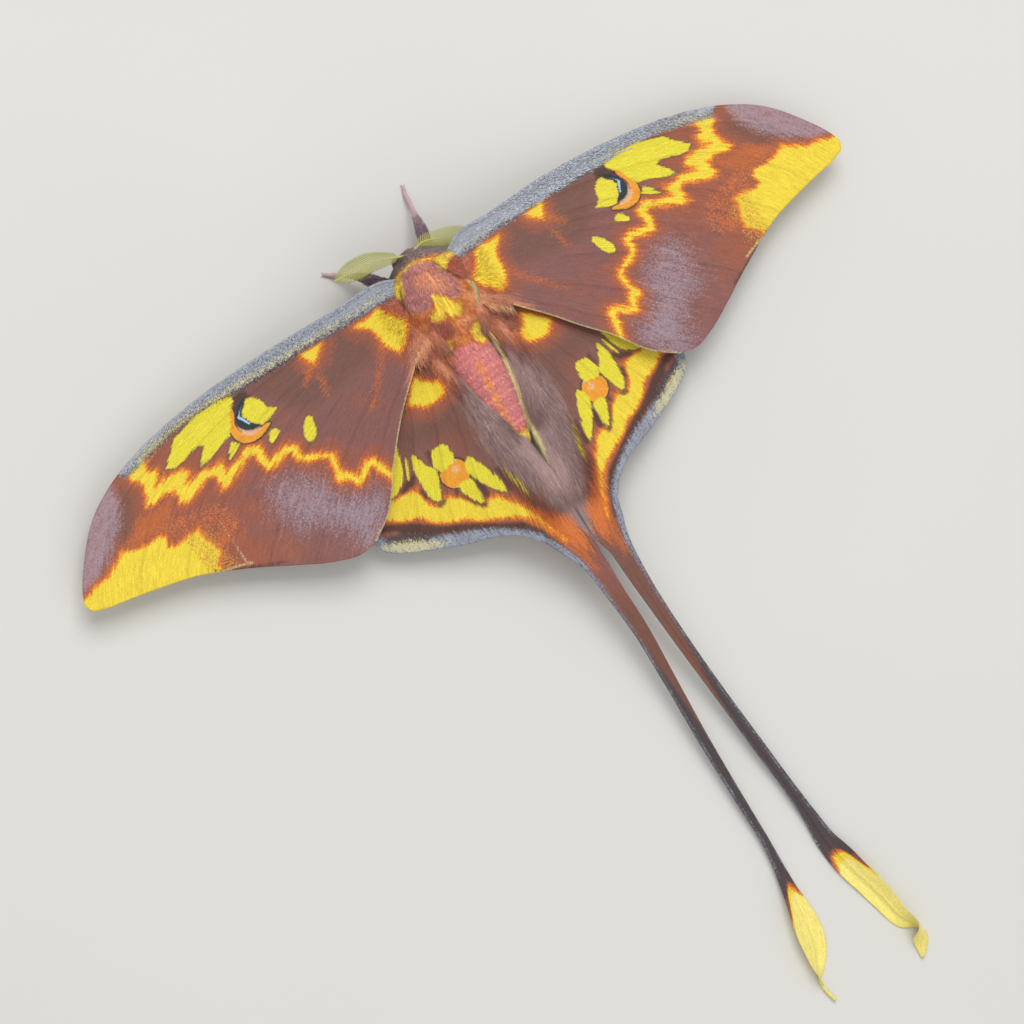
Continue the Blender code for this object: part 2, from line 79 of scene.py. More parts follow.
# Wings, as in the solids: both pairs droop from the root to the tip along one falling curve.
ROOT_Z, DROOP, DROOP_REACH, ROOT_X = 13.2, 8.5, 16.0, 5.0
HIND_BELOW, HIND_FALL, HIND_FALL_FROM = 1.5, 0.1, 12.0
HIND_SHIFT, HIND_SHIFT_OVER, TAIL_Y = 1.4, 16.0, 38.1
FORE_ROOT_X, HIND_ROOT_X = 3.2, 3.4
FORE_COSTA = [(FORE_ROOT_X, -7.6), (6.5, -9.2), (14, -9.4), (24, -9.6), (34, -9.3), (44, -8.15),
              (51, -6.7), (57, -4.6), (63, -1), (67.5, 4), (70.1, 7.9), (70.8, 9.5)]
FORE_TERMEN = [(70.8, 9.5), (70.3, 10.8), (68.4, 11.6), (64, 12.4), (59, 13.4), (54, 14.6),
               (49, 16.6), (44, 19), (39.2, 21.6), (34.2, 24), (30.6, 25), (27.6, 24.5)]
FORE_HIND = [(FORE_ROOT_X, 1.5), (7, 3.2), (10.4, 6.2), (14, 9.7), (19, 15.6), (24, 22), (27.6, 24.5)]
RIGHT_SWEEP, RIGHT_BROADER, RIGHT_BROAD_FROM, RIGHT_OUT = 0.7, 0.035, 24, 0.8
RIGHT_FULLER, FULLER_FROM, FULLER_OVER, HIND_CORNER_Y = 1.1, 11, 7, 25
HIND_COSTA = [(HIND_ROOT_X, -2), (11, 0.5), (19, 7.5), (26.5, 16), (29.6, 21.5), (29.1, 24.7)]
HIND_OUTER = [(29.1, 24.7), (28.4, 26.5), (25.8, 28.3), (21.4, 30.4), (16.5, 32.4), (13.2, 33.4),
              (10.4, 34.8), (8.6, 36.2), (7.1, TAIL_Y)]
HIND_INNER = [(HIND_ROOT_X, 2.5), (3.6, 7), (2.7, 12), (1.9, 16.3), (1.2, 20.5), (0.6, 24.7),
              (0.22, 30), (0.18, 35), (0.2, TAIL_Y)]
HIND_TAIL_SHARE = 0.24
HIND_FOLD, HIND_FOLD_OVER = 2.6, 2.2   # the inner edge turns down along the abdomen
# (distance back, centre to the left, width) along each tail.
TAIL_PATH = {
    "l": [(41, 1.15, 5.1), (45, 0.25, 3.9), (51, -0.3, 3), (57, -0.8, 2.6), (67, -0.85, 2.1),
          (78, -0.7, 1.8), (90, -0.8, 1.5), (98, -0.85, 1.45), (102, -0.55, 1.9), (105, -0.2, 2.6),
          (109, 0.3, 4.1), (112.5, 0.8, 5), (116, 1.65, 4.4), (118.5, 2.7, 2.6), (120.2, 3.4, 1),
          (124.2, 2.8, 0.5)],
    "r": [(41, -4.6, 5.9), (45, -4.7, 3.9), (50, -4.8, 3.1), (57, -5.2, 2.5), (64, -5.8, 2.2),
          (73, -6.7, 2), (83, -7.75, 2), (91, -8.6, 1.9), (98, -9.2, 2.4), (102, -9.4, 3.2),
          (105.7, -10.1, 4.1), (108.8, -10.8, 4.2), (111.2, -11.5, 4.2), (115, -12.4, 3.9),
          (118.8, -13.2, 3.2), (121.2, -14.4, 2.5), (123.6, -14.2, 2.4), (126.2, -12.9, 0.5)],
}
TAIL_HEIGHTS = [(TAIL_Y, 8), (57, 5.2), (68, 3.6), (80, 2.3), (92, 1.3), (104, 0.6), (110, 0.5), (128, 0.4)]
# Roll of each tail's blade about its own length, and how much wider it is than it looks from above.
TAIL_ROLL = {"l": [(38, 0, 1), (95, 0, 1), (106, 12, 1), (114, 14, 1), (118, 30, 1.1), (120.2, 75, 1.6),
                   (122, 150, 1.2), (126, 180, 1)],
             "r": [(38, 0, 1), (95, 0, 1), (104, -8, 1), (114, -18, 1), (118.5, -30, 1.1), (121, -70, 1.5),
                   (123, -140, 1.3), (127, -180, 1)]}
# Share of the wing's breadth at which each vein runs, and the share of its length where it starts.
FORE_VEINS = {0.07: 0, 0.2: 0, 0.36: 0.4, 0.43: 0.42, 0.5: 0.45, 0.63: 0.4, 0.78: 0.3, 0.92: 0}
HIND_VEINS = {0.12: 0, 0.28: 0.4, 0.43: 0.4, 0.58: 0.35, 0.72: 0.2, 0.9: 0}

# Skin under the fur: (distance back, half width, top, underside, squareness) of each ring.
SKIN = [(-11.7, 0.3, 8.7, 7.9, 2), (-11.4, 1.2, 9.5, 7, 2), (-10.9, 1.75, 10.3, 6.6, 2),
        (-10.5, 2.3, 11.4, 6.4, 2), (-9.9, 3.2, 12.4, 6.2, 2.1), (-9.2, 4.2, 13.2, 6.1, 2.3),
        (-8.4, 5.1, 13.7, 5.8, 2.5), (-7.2, 5.9, 14.1, 5.2, 2.6), (-5, 6.2, 14.5, 4.5, 2.6),
        (-1, 6.2, 14.6, 4, 2.6), (2.4, 5.3, 13.8, 4.4, 2.6), (4.4, 4.1, 12.7, 4.9, 2.4),
        (5.6, 3.6, 12.1, 5.2, 2.2), (7.5, 3.6, 12, 5.1, 2.1), (11, 3.55, 11.7, 4.9, 2.1),
        (15, 3.1, 10.8, 4.9, 2.1), (19, 2.4, 9.6, 5.2, 2.1), (22, 1.7, 8.6, 5.7, 2.1),
        (23.6, 0.9, 7.7, 6.3, 2), (24.1, 0.3, 7.2, 6.7, 2)]
BODY_Z = 9.0
ABDOMEN_Y, ABDOMEN_END, ABDOMEN_LEAN, SEGMENTS = 5.4, 24.4, 0.25, 8
EYE_CENTRE, EYE_RADII = (2.2, -10.6, 7.9), (0.85, 1.1, 1.15)
ANTENNA = {"l": [(0.9, -10.9, 9.6), (3, -11.8, 9.7), (5.6, -12.7, 9.5), (8.8, -13.1, 9.2),
                 (12.2, -13.2, 8.8)],
           "r": [(-0.7, -10.9, 9.6), (-2.6, -11.4, 9.6), (-5.2, -10.7, 9.3), (-8, -9.6, 9),
                 (-11.2, -8.4, 8.7)]}
TOE_Z, TOE_R = 0.34, 0.34
LEG_NAMES = [pair + "_" + side for side in SIDES for pair in ("fore", "mid", "hind")]
# (x, y, z, radius) down each left leg; the fore legs are set apart on the two sides.
LEGS = {
    "fore_l": [(2.4, -6.6, 6.4, 0.8), (5.1, -9.3, 5, 0.95), (6.5, -11, 4.1, 1), (7.7, -12.5, 3.1, 0.5),
               (9.6, -14.2, 1.5, 0.36), (11, -15.3, TOE_Z, TOE_R), (11.8, -15.9, TOE_Z, 0.2)],
    "fore_r": [(-2.4, -6.6, 6.4, 0.8), (-3.7, -10.6, 5.3, 0.95), (-4.6, -13.6, 4.3, 1),
               (-5.2, -16, 3.1, 0.5), (-5.9, -18.5, 1.4, 0.36), (-6.3, -20.6, TOE_Z, TOE_R),
               (-6.6, -21.6, TOE_Z, 0.2)],
    "mid": [(3, -2.5, 6, 0.8), (7.2, -3.6, 5.4, 0.8), (10, -3, 4.2, 0.75), (12, -1.6, 2.4, 0.45),
            (13.6, -0.2, 0.9, 0.36), (14.8, 1, TOE_Z, TOE_R), (15.8, 2, TOE_Z, 0.2)],
    "hind": [(2.8, 0.8, 6, 0.8), (5.6, 4.6, 5.2, 0.8), (7.4, 8.2, 3.9, 0.72), (8.6, 11.6, 2.2, 0.45),
             (9.4, 14, 0.9, 0.36), (10, 15.8, TOE_Z, TOE_R), (10.5, 17.2, TOE_Z, 0.2)],
}


def rounded(outline, steps=4):
    """A closed outline with its corners eased: a Catmull-Rom curve through its points."""
    p = np.asarray(outline, float)
    before, after, beyond = np.roll(p, 1, 0), np.roll(p, -1, 0), np.roll(p, -2, 0)
    u = (np.arange(steps) / steps)[:, None, None]
    curve = 0.5 * (2 * p + (after - before) * u + (2 * before - 5 * p + 4 * after - beyond) * u**2
                   + (3 * p - before - 3 * after + beyond) * u**3)
    return curve.transpose(1, 0, 2).reshape(-1, p.shape[1])


def arc(centre, radius, start, end, half_width, steps=14):
    """A stroke along part of a circle: points at equal angles, each with half its width."""
    angle = np.radians(np.linspace(start, end, steps))
    return np.stack([centre[0] + radius * np.cos(angle), centre[1] + radius * np.sin(angle),
                     np.full(steps, half_width)], -1)


# Marks of the left forewing, from a line FORE_LINE to the moth's left. A shape with (x, y) points is a
# closed patch, and one with (x, y, half width) points is a stroke.
FORE_LINE = 0.9
FORE_MARKS = {
    "gold": [rounded([(9.8, -6.5), (11.7, -5.7), (14.4, -5.6), (12.7, -4), (12.1, -2.6), (11.9, -0.7),
        (11.1, 0.85), (10.3, 1.4), (9, 0.5), (7.8, -0.7), (7.3, -2.2), (8.6, -3.8), (9.4, -5.3)]),
        [(4.4, -7.9), (6, -8), (7.6, -7.4), (6.4, -6.5), (4.8, -6)], [(19.6, -6.3), (23.8, -6.6),
        (23.2, -5.2), (22.4, -3.9), (21.5, -4.5)], [(54.5, -5.3), (56.1, -4.35), (55.5, -3), (54.5, -1.5),
        (54.9, 0.1), (55.8, 1.6), (54.5, 1.8), (52.6, 1.4), (50.7, 1.4), (50.9, 2.8), (51.15, 4.2),
        (49.5, 4.1), (48, 3.5), (45.7, 2.6), (44.3, 2.8), (44.3, 4.3), (44.7, 5.3), (43, 5.1), (40.3, 3.9),
        (38, 2.9), (38, 1.9), (40.3, 2.7), (42.8, 3.35), (42, 1.6), (43.4, 1.6), (45.7, 1.2), (48.8, 1.8),
        (47.4, 0.3), (48.2, -0.7), (50.7, -0.8), (53.2, -0.4), (52.2, -1.1), (51.3, -2.4), (52.8, -2.9),
        (52.6, -4), (51.65, -5.7)], [(38.6, 2.5, 0.75), (37.85, 2.4, 0.75), (36.7, 2.9, 0.72),
        (36.9, 4.3, 0.72), (36.5, 5.75, 0.7), (34.8, 5.6, 0.62), (33, 5.1, 0.58), (31.8, 5.65, 0.58),
        (31.9, 7, 0.58), (30.9, 7.9, 0.5), (29, 8.7, 0.4), (27.5, 9.5, 0.45), (27.85, 11.6, 0.5),
        (28.2, 13.2, 0.62), (27.1, 13.2, 0.62), (26.3, 14.5, 0.55), (26.1, 15.2, 0.5), (24.8, 14.5, 0.55),
        (23.6, 13.6, 0.6), (22.65, 13.6, 0.6), (21.9, 15.5, 0.6), (20.9, 18, 0.5)], [(55.7, 7), (56.5, 6.4),
        (58.8, 6.6), (61.1, 6.2), (62.6, 5.5), (64.2, 6.6), (66.1, 7.6), (68.8, 8), (73.5, 9.3),
        (71.5, 13.5), (50.5, 19), (50.9, 14.9), (49.5, 13.5), (49.9, 11.6), (50.7, 10.1), (50.7, 8.5),
        (52.6, 8.5), (54.5, 9.1), (56, 8.5)]],
    "lemon": [
        [(34.3, -4.75), (33.5, -4.65), (32.8, -4.2), (32.3, -3.3), (32, -2.1), (30.7, -1.2), (32.4, -0.6),
         (34.1, -0.1), (35.2, -1.2), (36.1, -2.8), (35.2, -3.9)],
        rounded([(27, 2.6), (27.8, 2.5), (29, 3.7), (29.5, 5.3), (28.9, 6.1), (27.8, 5.5), (27.1, 3.9)]),
        rounded([(33.1, 1.25), (32.3, 1.75), (32.7, 2.3), (34, 3.1), (34.5, 2.65), (34, 1.9)]),
        [(39.5, -0.45), (38.6, 0.45), (39.5, 1.2), (40.9, 1.95), (41.4, 1.95), (40.6, 0.9)],
        [(35.9, -6.5), (38.5, -6.75), (41.8, -6.65), (44.9, -5.9), (46.8, -5.3), (48.2, -3.8), (50.2, -2),
         (49.2, -1.35), (47.2, -1.65), (45.7, -2.1), (44.2, -2.4), (43.4, -2), (45.9, 0.85), (43, 0.1),
         (41.5, -0.7), (39.2, -1.3), (38.6, -1.85), (37.5, -4.2), (36.1, -5.5)]],
    "ember": [
        [(23, -5.5, 0.7), (23.2, -4.2, 0.6), (24.1, -2.9, 0.4), (25.3, -2, 0.1)],
        rounded([(52.2, 2.6), (55.7, 2.5), (58, 2.4), (59.5, 3.9), (61.8, 5.7), (57.2, 5.9), (54.5, 5.3)]),
        [(53.4, 11, 0.6), (54.6, 12.2, 0.7)], [(49, 11.8, 0.9), (47.2, 11, 0.5)],
        [(12.3, -0.2, 0.28), (15.5, 3.4, 0.22), (18.4, 6.5, 0.05)],
        [(22.6, -1.6, 0.1), (23.2, 1.2, 0.1)]],
    "ring": [rounded([(36.9, -4.9), (38, -3.55), (38.7, -2), (38.8, -0.6), (38.2, 0.65), (37, 1.3),
        (35.4, 1.45), (34.2, 1.05), (32.8, 0.3), (33.6, 0.05), (34.7, 0.25), (36, 0.2), (37.1, -0.4),
        (37.6, -1.3), (37.6, -2.5), (36.9, -3.8)])],
    "blush": [[(37.4, -1.6, 0.15), (37, -0.4, 0.42), (35.9, 0.2, 0.45), (34.6, 0.15, 0.2)]],
    "pupil": [[(34, -5.3), (35.7, -4.7), (36.8, -3.7), (37.35, -2.5), (37.3, -1.5), (36.6, -0.6),
        (35.6, -0.2), (34.8, -0.2), (34.1, 0.1), (35.2, -1.2), (36, -2.8), (35.2, -3.9), (34.2, -4.8)]],
    "glint": [[(35.2, -4.3, 0.02), (36.1, -3.6, 0.08), (36.6, -2.9, 0.2), (36.2, -2.3, 0.2),
        (35.7, -1.3, 0.16)]],
    "mottle": [rounded([(46, 6.4), (51, 5), (56, 3.6), (60, 4), (63, 6), (57, 8.2), (52, 10.2), (48.5, 13.5),
                        (45, 13), (44, 9)])],
    "dust": [rounded([(53.5, 8.6), (51, 8.6), (48.5, 10.5), (49, 13), (48, 15.6), (50.5, 16.8), (53, 15),
                      (53.5, 11.5)])],
    "frost": [
        rounded([(38.9, 9.6), (36.6, 8.2), (32.7, 9.7), (30, 12.6), (28.6, 15.6), (24.6, 17), (23.6, 20.1),
                 (26.2, 24.5), (29.5, 25.6), (31.2, 23.9), (32.6, 20.6), (34.6, 18.2), (36.9, 17.4),
                 (38.4, 15.6), (39.2, 13.4)]),
        [(58.4, -6), (58.6, -1.2), (60.8, 2.2), (64, 5.2), (67.6, 7.3), (71.5, 9), (76, 9), (76, -6)]],
    "slate": [[(2, -5.6), (9.5, -6.3), (19, -6.5), (24, -6.6), (35, -6.6), (45, -6.3), (51, -5.2), (56, -3.9),
               (58, -6), (40, -13), (2, -13)]],
    "shade": [[(33.8, -6.2), (36.5, -6.1), (37.4, -4.8), (37.3, -3.1), (36.7, -3.6), (35.7, -4.6),
        (34.3, -4.7), (33.3, -4.9)], [(42, 19.9, 0.12), (47, 17.8, 0.15), (52, 15.4, 0.05)]],
    "umber": [
        [(56.2, -3.6, 0.9), (58.2, 0.5, 1.9), (61.5, 3.6, 1.8), (65, 6, 1.1), (69, 8.1, 0.3)],
        rounded([(24, -6.2), (35, -6.4), (33, -5.4), (30.4, -4.6), (29.5, -1.6), (26.5, -1.2), (25.4, -4.4)]),
        rounded([(12, -5.8), (20, -6.4), (33, -6.4), (30.5, -2), (27, 1.5), (20, 1), (13, -1)])],
    "patch": [rounded([(8.9, -6.4), (7.4, -6.6), (6, -5.6), (6.4, -3.8), (7.6, -2.2), (9.1, -2.6),
        (9.6, -4.4)])],
    "rust": [[(2, -6.4), (7.8, -6.2), (8.6, -3), (7.4, -0.2), (9.5, 3.2), (12, 6.5), (2, 6)]],
    "fleck": [[(8, -7.3, 0.1), (20, -7.35, 0.25), (35, -7.3, 0.4), (46, -6.7, 0.5), (53, -5.2, 0.4)]],
    "cream": [[(50.8, 16.1, 0.14), (48.1, 16.7, 0.12), (46.4, 17.3, 0.1)]],
}
# Crease near the outer edge of the left forewing, drawn only as a pale line: a painted highlight along it.
CREASE_HIGHLIGHT = [(46.6, 5.8, -0.1), (46.4, 12.8, 0.02), (46.2, 17.2, 0.08)]

# Marks of the left hindwing, read from a line that follows its sideways set.
HIND_LINE = 1.1
HIND_MARKS = {
    "gold": [[(6.2, 32.8, 0.4), (4.7, 36.4, 0.28), (3.7, 39.8, 0.05)], [(28.6, 20.2), (23.6, 20.5),
        (21, 20.3), (19.4, 20.8), (18.8, 22), (18.6, 23.6), (17.3, 24.9), (15.5, 24.4), (14, 25.3),
        (12.6, 26.9), (11.2, 28.6), (9.8, 27.7), (8.1, 29.3), (6.8, 31.2), (5.6, 33.4), (4.9, 36),
        (6.4, 33.9), (8.3, 32.5), (10.6, 31.4), (12.9, 30.4), (14.9, 28.8), (17.4, 28.1), (19.1, 26.8),
        (20.9, 24.8), (23.4, 24), (25.5, 22.5), (28, 22.4)], rounded([(7.6, 8.8), (8, 10.3), (8.9, 10.7),
        (11.1, 10.85), (12.4, 9.9), (13.5, 9), (12.2, 7.5), (10.6, 5.85), (9.8, 7)])],
    "amber": [[(9.4, 31, 0.7), (7.4, 32.2, 1.1), (5.4, 33.8, 1.3), (3.6, 36, 1.4), (2.3, 38.5, 1.3),
               (1.7, 41, 0.9), (1.3, 43.5, 0.2)]],
    "lemon": [rounded([(14.3, 17.4), (13.3, 16.9), (11.9, 17.1), (11.5, 18.8), (11.9, 20.1), (12.9, 20.3),
        (14.4, 20.6), (14.9, 19.1)], 2), rounded([(16.8, 15.9), (16.3, 17.2), (15.8, 18.6), (15, 19.6),
        (15.3, 21.4), (16.6, 24.2), (17.8, 23.4), (18, 21), (17.9, 18.6), (17.5, 17)], 2),
        rounded([(13.4, 23.7), (11.1, 23.7), (10.9, 25.2), (11.2, 28.1), (12.5, 26.5)], 2),
        rounded([(9.8, 20.7), (9, 22), (8, 24.4), (7.4, 26.8), (7.5, 28.6), (8.9, 26.9), (10.2, 25),
        (11, 23.1), (10.9, 21.8)], 2), [(6.1, 25, 0.12), (5.4, 27.2, 0.28), (4.6, 29.5, 0.08)],
        rounded([(18.3, 12.9), (18.5, 14.6), (19.1, 16.6), (20.1, 18.6), (21.4, 19.7), (23.4, 19.8),
        (27, 16), (21, 10.5)], 2), [(18, 15.9, 0.12), (18.7, 17.4, 0.25), (19.3, 18.9, 0.1)]],
    "ember": [[(20, 20, 0.5), (18.6, 20.8, 0.5)],
              [(8.4, 29.2, 0.5), (6.4, 32, 0.9), (4.6, 35.8, 1.5), (2.9, 41, 1.3), (2.2, 46, 0.4)]],
    "rust": [[(4.4, 2.5, 1.6), (5.4, 5.5, 1.8), (5.8, 8, 0.9), (5.6, 11, -0.6), (5, 14, -2)]],
    "ring": [arc((12.75, 21.8), 1.15, 0, 360, 1.15)],
    "blush": [arc((12.4, 21.3), 0.3, 0, 360, 0.3)],
    "pupil": [arc((12.7, 21.8), 2.25, 195, 330, 0.1)],
    "glint": [arc((12.7, 21.8), 1.9, 236, 290, 0.13)],
    "haze": [rounded([(0.5, 11), (4.8, 11.5), (6.2, 18), (6, 24), (3.8, 29), (1.9, 33.5), (0.9, 37),
        (0.2, 40), (-1.5, 40), (-2, 38), (-2, 11)])],
    "umber": [rounded([(6.5, 12.2), (13, 12), (17.2, 12.6), (17.6, 16.5), (16, 15.6), (13, 16), (10, 16.6),
                       (8.6, 21), (6.8, 24), (6.2, 18)])],
    "shade": [[(9.9, 21, 0.2), (10.3, 25.2, 0.6), (10.3, 27.2, 0.5)], [(13.9, 24.4, 0.3),
        (14.3, 25.2, 0.1)], [(13.6, 25.4, 0.15), (12.2, 27.6, 0.3), (11.3, 28.5, 0.35)], [(7, 24.6, 0.2),
        (6.7, 28.4, 0.35)], [(18.5, 19, 0.4), (19.2, 19.4, 0.7), (21, 20.1, 0.4)], [(14.6, 17, 0.35),
        (15.1, 18.4, 0.2)], [(18.3, 21.6, 0.45), (18.3, 22.7, 0.35)], [(17.2, 24.9, 0.3),
        (16.2, 24.7, 0.2)], [(5.2, 29.8, 0.15), (3.9, 32, 0.1)], [(28.5, 23, 0.3), (25.9, 23.6, 0.6),
        (22.6, 25.6, 0.75), (19.2, 28.1, 0.75), (15.4, 30, 0.7), (11.8, 32.2, 0.65), (8.1, 34.3, 0.6),
        (6.2, 36.8, 0.5), (4.9, 40.5, 0.4)]],
    "dusk": [[(28.5, 24.8, 0.3), (24.2, 26.4, 1), (20.5, 28.6, 0.7)]],
    "fleck": [[(28, 25.9, 0.4), (25, 27.5, 0.9), (22, 29.1, 0.8), (19, 30.4, 0.2)]],
}

WING_MARKS = sorted({*FORE_MARKS, *HIND_MARKS, "border", "pale", "cream"})

# Marks of the body from above.
BODY_MARKS = {
    "rose": [[(-5.5, 5.6), (5.5, 5.6), (5.2, 22.6), (-5.2, 22.6)]],
    "ember": [[(0.2, 9.1, 0.3), (0.3, 10.6, 0.55)], [(0.3, 11.8, 0.3), (0.4, 13.1, 0.6)],
              [(0.4, 14.3, 0.3), (0.5, 15.7, 0.6)], [(0.5, 16.9, 0.3), (0.6, 18.2, 0.5)],
              [(0.5, 19.4, 0.25), (0.5, 20.8, 0.45)], [(-0.6, 5.4, 0.7), (0.6, 5, 0.6)]],
    "plum": [rounded([(4.4, -6.7), (3.1, -8.4), (1, -8.9), (-1.2, -7.8), (-2.2, -5.6), (-3, -3.6), (-2.8, -2),
                      (-1.8, -1), (-0.7, -1.9), (1, -3.4), (2.5, -1.9), (4.6, -2.3), (5.1, -4.1)])],
    "tawny": [rounded([(2.2, -6.8), (0.5, -7.4), (-0.9, -5.9), (-1.6, -3.2), (-0.4, -2.8), (1.2, -3.9),
        (2.4, -5.1)])],
    "rust": [rounded([(-2.6, -6), (-3.5, -6.9), (-5.2, -7.1), (-7.2, -6.6), (-7.6, -4.9), (-6, -3.2),
        (-4.4, -2.7), (-3.1, -3.6), (-2.6, -4.8)]), rounded([(8.5, -6.4), (6.5, -6.6), (4.9, -5.5),
        (5.5, -3.6), (6.9, -2.1), (8.8, -2.6), (9, -4.1)]), rounded([(3.6, -0.2), (2.3, 0.7), (1, 1.9),
        (1.2, 3.4), (2.9, 3.6), (4.4, 2)])],
    "gold": [[(3.7, -8.5, 0.2), (0.9, -9, 0.16), (-1.1, -8.4, 0.2), (-1.6, -7.8, 0.25)],
             [(9, -6.8), (5.6, -7.4), (3.6, -8.6), (4, -7), (5.1, -5.2), (6.7, -6.4), (9, -6.3)],
             [(-1.4, -7.9), (-3.4, -7.9), (-5.5, -7.7), (-8, -7.2), (-8, -6.5), (-5.2, -7), (-3.6, -6.8),
              (-2.6, -5.5), (-1.9, -6.3)],
             rounded([(1.1, -3.5), (0, -2.1), (-1.1, -0.6), (-2, -0.2), (-0.7, 1.4), (0.5, 1.2), (0.9, 0),
                      (2, -0.2), (1.8, -2)]),
             rounded([(2.9, -0.9), (1.5, -0.4), (1.2, 0.5), (2.2, 0.8), (3.2, 0.1)]),
             rounded([(-2.8, 3.4), (-4, 4.1), (-3.8, 5.6), (-2.5, 6.9), (-1.2, 5.9), (-1.4, 3.9)]),
             rounded([(5.2, 3), (3.3, 3.4), (2.2, 4.6), (4.2, 6.6), (5.6, 4.2)]),
             [(-5.6, 21.6), (5, 21.6), (5, 27), (-5.6, 27)]],
    # Painted shadow in the lines between the parts of the thorax, where one part overlaps the next.
    "parting_shadow": [[(-1.3, -8.3, 0.05), (-2.4, -5.7, 0.12), (-3.9, -3.4, 0.12), (-4.9, -2.8, 0.05)],
             [(4, -8, 0.05), (4.9, -6.2, 0.12), (5.5, -4.2, 0.12), (5.3, -2, 0.05)]],
    "cream": [[(-4.7, -2.5, 0.25), (-5.2, -1.1, 0.35), (-4.4, 1, 0.25), (-3.8, 3, 0.2)],
              [(6.4, -1.8, 0.2), (6.7, -0.5, 0.3), (5.8, 1, 0.25), (5.5, 3.1, 0.2)]],
    "slate": [[(9, -7), (7.9, -7.2), (5.4, -7.5), (3.5, -8.8), (0.5, -9.4), (-1.4, -8.8), (-3.3, -8.1),
               (-5.1, -7.9), (-6.9, -7.7), (-9, -7.5), (-9, -13), (9, -13)]],
}


def srgb(red, green, blue):
    """Linear colour of three 8-bit screen values."""
    return tuple(round((v / 255) ** 2.2, 4) for v in (red, green, blue))


def tone(label, red, green, blue):
    return FloatVectorProperty(name=label, description="Colour of the " + label.lower(), subtype="COLOR",
                               size=3, min=0.0, max=1.0, default=srgb(red, green, blue))


def length(label, description, default):
    return FloatProperty(name=label, description=description, default=default * MM, min=0.0, unit="LENGTH",
                         precision=5)


class MothColours(bpy.types.PropertyGroup):
    brown: tone("Wing brown", 128, 84, 79)
    tawny: tone("Outer wing", 150, 84, 61)
    gold: tone("Golden yellow marks", 232, 203, 54)
    orange: tone("Orange fringe of the marks", 232, 132, 24)
    amber: tone("Orange of the tail roots", 210, 112, 48)
    ember: tone("Burnt orange", 184, 98, 48)
    umber: tone("Dark wing brown", 108, 75, 62)
    lemon: tone("Lemon yellow marks", 222, 207, 50)
    pale: tone("Pale tips of the tails", 240, 222, 120)
    slate: tone("Grey front edge", 168, 172, 180)
    steel: tone("Blue-grey hind border", 150, 158, 172)
    frost: tone("Lilac frosting", 158, 142, 154)
    haze: tone("Hair of the hindwings", 160, 136, 132)
    shade: tone("Darkest brown", 62, 42, 34)
    rust: tone("Red-brown", 138, 78, 58)
    ring: tone("Eye-spot ring", 230, 150, 40)
    blush: tone("Eye-spot blush", 228, 180, 136)
    pupil: tone("Eye-spot centre", 40, 48, 50)
    glint: tone("Eye-spot glint", 160, 190, 222)
    dusk: tone("Tail brown", 68, 60, 64)
    ginger: tone("Thorax fur", 250, 176, 118)
    copper: tone("Wing root fur", 208, 134, 98)
    trail: tone("Rear of the mane", 150, 120, 110)
    plum: tone("Thorax shield", 204, 138, 132)
    russet: tone("Red-brown fur", 186, 104, 80)
    apricot: tone("Orange fur", 242, 160, 84)
    collar: tone("Collar", 152, 134, 127)
    straw: tone("Thorax tufts", 255, 226, 84)
    soot: tone("Dark edge of the front border", 74, 76, 86)
    rose: tone("Abdomen fur", 222, 138, 134)
    cream: tone("Cream tufts", 212, 200, 138)
    feeler: tone("Rays of the feelers", 178, 176, 84)
    shaft: tone("Shafts of the feelers", 190, 184, 108)
    leg: tone("Leg scales", 150, 118, 132)
    foot: tone("Feet", 186, 152, 154)
    eye: tone("Eyes", 34, 22, 20)


class MothSizes(bpy.types.PropertyGroup):
    membrane: length("Membrane", "Thickness of a wing away from its veins", 0.24)
    vein: length("Vein", "Height of a vein above the membrane", 0.13)
    vein_width: length("Vein width", "Width of a vein", 0.36)
    pleat: length("Pleat", "How far the membrane sinks between veins", 0.16)
    thorax_hair: length("Thorax hair", "Length of the hair on the thorax", 1.4)
    collar_hair: length("Collar hair", "Length of the hair of the collar", 1.4)
    abdomen_hair: length("Abdomen hair", "Length of the hair on the abdomen", 0.8)
    mane: length("Mane", "Length of the hair that streams back from the rear of the thorax", 4.2)
    wing_hair: length("Wing hair", "Length of the long hair along the hindwings", 4.0)
    leg_hair: length("Leg hair", "Length of the hair on the legs", 1.0)
    hair_width: length("Hair width", "Width of a tuft of hair", 0.11)
    ray_length: length("Feeler rays", "Length of the rays of a feeler", 2.35)
    coat: IntProperty(name="Coat", description="Tufts of hair on the thorax", default=30000, min=100)


class MothLight(bpy.types.PropertyGroup):
    key: FloatProperty(name="Key light", description="Power of the large soft light", default=5.2,
                       unit="POWER")
    fill: FloatProperty(name="Fill light", description="Power of the light from the other side", default=1.6,
                        unit="POWER")
    sky: FloatProperty(name="Room light", description="Strength of the even light all round", default=0.55)
    floor: tone("Floor", 214, 212, 206)


def place(points):
    """Body-frame millimetres to the model's metres."""
    return (np.asarray(points, float) - (0.0, ORIGIN_Y, 0.0)) * MM


def smooth(u):
    """0 to 1 with a soft start and a soft end."""
    u = np.clip(u, 0.0, 1.0)
    return u * u * (3 - 2 * u)


def unit(v):
    return v / np.maximum(np.linalg.norm(v, axis=-1, keepdims=True), 1e-12)


def cubic(rows, keys, at):
    """Rows read at places between their keys: one cubic from each row to the next, with the mean slope of
    both sides at each row, and no further than the last ones."""
    slopes = np.gradient(rows, keys, axis=0)
    k = np.clip(np.searchsorted(keys, at, side="right") - 1, 0, len(keys) - 2)
    width = (keys[k + 1] - keys[k])[:, None]
    u = np.clip((at - keys[k])[:, None] / width, 0.0, 1.0)
    return ((2 * u**3 - 3 * u**2 + 1) * rows[k] + (u**3 - 2 * u**2 + u) * width * slopes[k]
            + (3 * u**2 - 2 * u**3) * rows[k + 1] + (u**3 - u**2) * width * slopes[k + 1])


